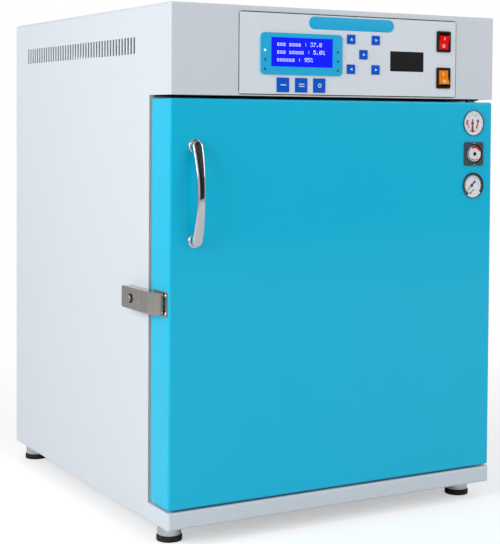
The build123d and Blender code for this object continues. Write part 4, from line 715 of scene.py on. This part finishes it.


# Control panel
# The plate is moulded in pale ABS with a fine spark-eroded texture, and the frame round the screen and
# the bare badge above are glossy cyan ABS, clipped in from behind. A thin dark grey strip in the joint
# between the plate and the head on all four sides is painted shade in that gap.
panel_abs = grain(finish("pale_textured_abs", "#E8EFF7", 0.48), size=0.0012, height=0.000005, clouding=0.01,
                  edge=0.0006, polish=0.01)
dress(panel_abs, "control_panel")
cyan_abs = grain(finish("cyan_gloss_abs", "#12B8EC", 0.4, Specular_IOR_Level=0.25), size=0.004,
                 height=0.000001, clouding=0.008, edge=0.0008, polish=0.01)
dress(cyan_abs, "display_surround")
panel_low, panel_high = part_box("control_panel")
# The dark grey strips round the plate are painted shade in its joint with the head.
gap_shade_width, gap_shade_clearance, gap_shade_short = 0.0011, 0.00015, 0.0036
gap_shade_front = head_low.y + 0.0004
gap_shade_slabs = []
for outward in (-1, 1):
    near, far = outward * gap_shade_clearance, outward * (gap_shade_clearance + gap_shade_width)
    inner_edge, outer_edge = min(near, far), max(near, far)
    edge_x, edge_z = (panel_low.x, panel_low.z) if outward < 0 else (panel_high.x, panel_high.z)
    gap_shade_slabs.append(slab((edge_x + inner_edge, gap_shade_front, panel_low.z + gap_shade_short),
                      (edge_x + outer_edge, panel_high.y, panel_high.z - gap_shade_short)))
    gap_shade_slabs.append(slab((panel_low.x + gap_shade_short, gap_shade_front, edge_z + inner_edge),
                      (panel_high.x - gap_shade_short, panel_high.y, edge_z + outer_edge)))
make_piece("panel_gap_shade", joined(*gap_shade_slabs), seal_rubber, "cabinet")
badge_width, badge_height, badge_rise = 0.1455, 0.0180, 0.0009
badge_x, badge_z = panel_low.x + 0.18375, panel_high.z - 0.0110


def pill(width, height, rise, centre, front, steps=32):
    """A long plate with half-round ends and a rounded front edge.

    The outline is a stadium; ring k of the edge is drawn in by r (1 - cos t) and raised by r sin t as t
    runs from 0 to 90 degrees, and the last ring closes on the plate's middle line.
    """
    angle = np.linspace(-90, 270, 2 * steps, endpoint=False)
    ends = np.where(angle < 90, 1, -1) * (width - height) / 2
    t = np.radians(np.linspace(0, 90, 6))
    lift = np.concatenate([[0], rise * np.sin(t), [rise]])
    draw = np.concatenate([[0], rise * (1 - np.cos(t)), [height / 2]])
    radius = height / 2 - draw
    x = centre[0] + ends + radius[:, None] * np.cos(np.radians(angle))
    z = centre[1] + radius[:, None] * np.sin(np.radians(angle))
    y = np.broadcast_to((front - lift)[:, None], x.shape)
    back = np.stack([x[0], np.full(len(angle), front + 0.0002), z[0]], -1)[None]
    rows = np.concatenate([back, np.stack([x, y, z], -1)])
    faces = grid_faces(len(rows), len(angle), wrap_columns=True)
    return rows.reshape(-1, 3), faces


make_piece("bare_badge", pill(badge_width, badge_height, badge_rise, (badge_x, badge_z), panel_low.y),
           cyan_abs, "cabinet")


# Screen
# A backlit liquid crystal module: saturated blue glass with pale square dots that make plain figures.
# Each of its three lines is a row of blocks, a colon and a reading.
screen_blue = grain(finish("backlit_blue_screen", "#0208A0", 0.2, Specular_IOR_Level=0.2,
                           Emission_Color="#0418FF", Emission_Strength=0.85),
                    size=0.002, height=0.000002, clouding=0.03, cloud_size=0.03, polish=0.02)
dress(screen_blue, "lcd_screen")
screen_dot = grain(finish("lit_screen_dot", "#DCE6FF", 0.4, Emission_Color="#E6EEFF", Emission_Strength=0.8),
                   size=0.001, height=0.000001, clouding=0.01)
figures = {
    "0": "01110 10001 10011 10101 11001 10001 01110", "3": "11111 00010 00100 00010 00001 10001 01110",
    "7": "11111 00001 00010 00100 01000 01000 01000", "5": "11111 10000 11110 00001 00001 10001 01110",
    "9": "01110 10001 10001 01111 00001 00010 01100", ".": "00000 00000 00000 00000 00000 01100 01100",
    "%": "11000 11001 00010 00100 01000 10011 00011", "|": "00000 00000 11110 10010 10010 10010 11110",
    ":": "00000 00100 00100 00000 00100 00100 00000",
    " ": "00000 00000 00000 00000 00000 00000 00000",
}


def dot_line(text, left, top, dot):
    """Places of the lit dots of a line of figures, five by seven dots each with one between."""
    lit = np.array([[[int(c) for c in row] for row in figures[letter].split()] for letter in text])
    number, row, column = np.nonzero(lit)
    return np.stack([left + (number * 6 + column) * dot, top - row * dot], -1)


def dots(places, size, front, depth=0.00008):
    """Square plates, one at each place: eight corners each, worked out for all of them at once."""
    corner = np.array([(x, y, z) for y in (0, 1) for z in (0, 1) for x in (0, 1)], float)
    points = np.empty((len(places), 8, 3))
    points[:, :, 0] = places[:, None, 0] + corner[:, 0] * size
    points[:, :, 1] = front - depth + corner[:, 1] * depth
    points[:, :, 2] = places[:, None, 1] + corner[:, 2] * size
    return points.reshape(-1, 3), (np.arange(len(places))[:, None, None] * 8 + box_sides).reshape(-1, 4)


surround_low, surround_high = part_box("display_surround")
screen_left, screen_top = surround_low.x + 0.0165, surround_high.z - 0.0065
screen_front = surround_low.y + 0.001
dot, line_pitch = 0.00082, 0.0108
screen_lines = np.concatenate([
    dot_line(line, screen_left + 0.010, screen_top - 0.0065 - number * line_pitch, dot)
    for number, line in enumerate(("||| |||| : 37.0", "||| ||||| : 5.0%", "|||||| : 95%"))
])
make_piece("screen_figures", dots(screen_lines, dot * 0.8, screen_front), screen_dot, "cabinet")


# Indicator lamps
# Small domed light guides in the screen's frame, three each side. The top left one is lit, and the
# others are dark.
lamp_radius, lamp_sunk = 0.0016, 0.0002
lamp_dome = np.concatenate([[(0, -lamp_sunk), (lamp_radius, -lamp_sunk), (lamp_radius, lamp_sunk)],
                            arc((0, -0.0006), 0.0018, 27, 90, 6)])
lamp_dome[-1, 0] = 0
lamp_z = [surround_low.z + rise for rise in (0.0335, 0.0205, 0.0075)]
lamp_left, lamp_right = surround_low.x + 0.0062, surround_high.x - 0.0080
lit_lamp = grain(finish("lit_green_lamp", "#C8FFD0", 0.25, Emission_Color="#E8FFE8", Emission_Strength=0.9),
                 size=0.001, height=0.000002, clouding=0.02)
dark_lamp = grain(finish("dark_lamp_lens", "#1D2430", 0.2, Coat_Weight=0.5), size=0.001, height=0.000002,
                  clouding=0.05)
lit_places = [(lamp_left, surround_low.y, lamp_z[0])]
make_piece("lit_indicator", turned(lamp_dome, lit_places, axis=(0, -1, 0), steps=24), lit_lamp, "cabinet")
dark_places = [(lamp_left, surround_low.y, z) for z in lamp_z[1:]]
dark_places += [(lamp_right, surround_low.y, z) for z in lamp_z]
make_piece("dark_indicators", turned(lamp_dome, dark_places, axis=(0, -1, 0), steps=24), dark_lamp, "cabinet")


# Keys
# Eight blue keys moulded in ABS stand proud of the plate. The five small ones carry a white triangle
# each, printed on, and the three large ones a bar, two bars and a ring.
key_blue = grain(finish("blue_key_abs", "#005CDC", 0.5, Specular_IOR_Level=0.1), size=0.0015, height=0.00001,
                 clouding=0.02, edge=0.0005)
key_names = [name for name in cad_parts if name.startswith("key_")]
dress(key_blue, *key_names)
white_ink = grain(finish("white_printing_ink", "#F1F4F8", 0.5), size=0.001, height=0.000003, clouding=0.03)
arrow_size = 0.0026
arrow_faces = np.array([[0, 1, 2, 2], [3, 5, 4, 4], [0, 3, 4, 1], [1, 4, 5, 2], [2, 5, 3, 0]])
for name, pointing in (("upper_left", 0), ("upper_right", 90), ("middle", 90), ("lower_left", 270),
                       ("lower_right", 90)):
    low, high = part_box(f"key_small_{name}")
    x, z = (low.x + high.x) / 2, (low.z + high.z) / 2
    corner_angles = np.radians(pointing + np.array([0, 130, 230]))
    corners = np.stack([x + arrow_size * np.sin(corner_angles), z + arrow_size * np.cos(corner_angles)], -1)
    points = np.concatenate([np.stack([corners[:, 0], np.full(3, y), corners[:, 1]], -1)
                             for y in (low.y - ink, low.y + ink)])
    make_piece(f"arrow_{name}", (points, arrow_faces), white_ink, f"key_small_{name}")

for name, marks in (("left", [(-0.0045, -0.0007, 0.0045, 0.0007)]),
                    ("middle", [(-0.0045, 0.0010, 0.0045, 0.0022), (-0.0045, -0.0022, 0.0045, -0.0010)])):
    low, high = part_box(f"key_large_{name}")
    x, z = (low.x + high.x) / 2, (low.z + high.z) / 2
    bars = [slab((x + a, low.y - ink, z + b), (x + c, low.y + ink, z + d)) for a, b, c, d in marks]
    make_piece(f"bars_{name}", joined(*bars), white_ink, f"key_large_{name}")
low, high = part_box("key_large_right")
ring_centre = ((low.x + high.x) / 2, 0, (low.z + high.z) / 2)
make_piece("ring_right", flat_rings(ring_centre, [(0.0019, 0.0030, 0, 359)], low.y - ink, low.y + ink),
           white_ink, "key_large_right")


# Rocker switches
# Snap-in switches with glossy polycarbonate paddles, red for power and orange for the lamp.
red_paddle = grain(finish("red_polycarbonate", "#FF0000", 0.35, Specular_IOR_Level=0.1), size=0.002,
                   height=0.000005, clouding=0.03, edge=0.0006)
orange_paddle = grain(finish("orange_polycarbonate", "#FF8A00", 0.35, Specular_IOR_Level=0.1), size=0.002,
                      height=0.000005, clouding=0.03, edge=0.0006)
dress(red_paddle, "power_rocker")
dress(orange_paddle, "lamp_rocker")


def laid_on(points, centre, normal):
    """Moves a shape drawn about the origin, facing -y, onto a face with this centre and normal."""
    up = np.array([0, normal[2], -normal[1]])
    return centre + points[:, :1] * (1, 0, 0) + points[:, 2:] * up - points[:, 1:2] * np.array(normal)


# A bar at the upper end of each paddle means on, and a ring at the lower end means off.
bar_mark = slab((-0.0006, -ink, -0.0024), (0.0006, ink, 0.0024))
ring_mark = flat_rings((0, 0, 0), [(0.0014, 0.0024, 0, 359)], -ink, ink)
for name, colour_slot in (("power_rocker", "red_plastic"), ("lamp_rocker", "orange_plastic")):
    low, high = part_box(name)
    placed = []
    for mark, share in ((bar_mark, 0.74), (ring_mark, 0.24)):
        start = ((low.x + high.x) / 2, low.y - 0.01, low.z + share * (high.z - low.z))
        _, touched, normal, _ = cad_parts[name].ray_cast(start, (0, 1, 0))
        placed.append((laid_on(mark[0], np.array(touched), normal), mark[1]))
    make_piece(f"{name}_marks", joined(*placed), white_ink, name)


# Latch screw washer
# A dark washer under the round screw head that holds the latch's case.
latch_low, latch_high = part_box("latch_base")
screw_proud, screw_back = 0.0035, 0.02735
washer_place = (latch_low.x + screw_proud, latch_low.y + screw_back, (latch_low.z + latch_high.z) / 2)
washer_inner, washer_outer, washer_sheet = 0.0048, 0.0066, 0.0007
washer_profile = [(washer_inner, 0), (washer_outer, 0), (washer_outer, washer_sheet),
                  (washer_inner, washer_sheet), (washer_inner, 0)]
make_piece("latch_washer", turned(washer_profile, [washer_place], axis=(-1, 0, 0), steps=40), black_moulding,
           "cabinet")


# Strike plate screws
# Two pan-head steel screws hold the strike plate to the door's edge, near its front corners.
strike_low, strike_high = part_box("strike_plate")
screw_radius = 0.0028
screw_head = np.concatenate([[(0, 0), (screw_radius, 0)], arc((0, -0.0016), 0.0032, 29, 90, 8)])
screw_head[-1, 0] = 0
screw_from_front, screw_from_end = 0.0045, 0.0050
strike_screws = [(strike_low.x, strike_low.y + screw_from_front, z)
                 for z in (strike_low.z + screw_from_end, strike_high.z - screw_from_end)]
make_piece("strike_screws", turned(screw_head, strike_screws, axis=(-1, 0, 0), steps=24), brushed, "door")


# Rear panel screws
# Zinc-plated pan-head screws hold the rear panel, five along each side.
rear_low, rear_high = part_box("rear_panel")
rear_margin, rear_end = 0.008, 0.03
rear_screws = [(x, rear_high.y, z) for x in (rear_low.x + rear_margin, rear_high.x - rear_margin)
               for z in np.linspace(rear_low.z + rear_end, rear_high.z - rear_end, 5)]
make_piece("rear_screws", turned(screw_head, rear_screws, axis=(0, 1, 0), steps=20), zinc, "cabinet")
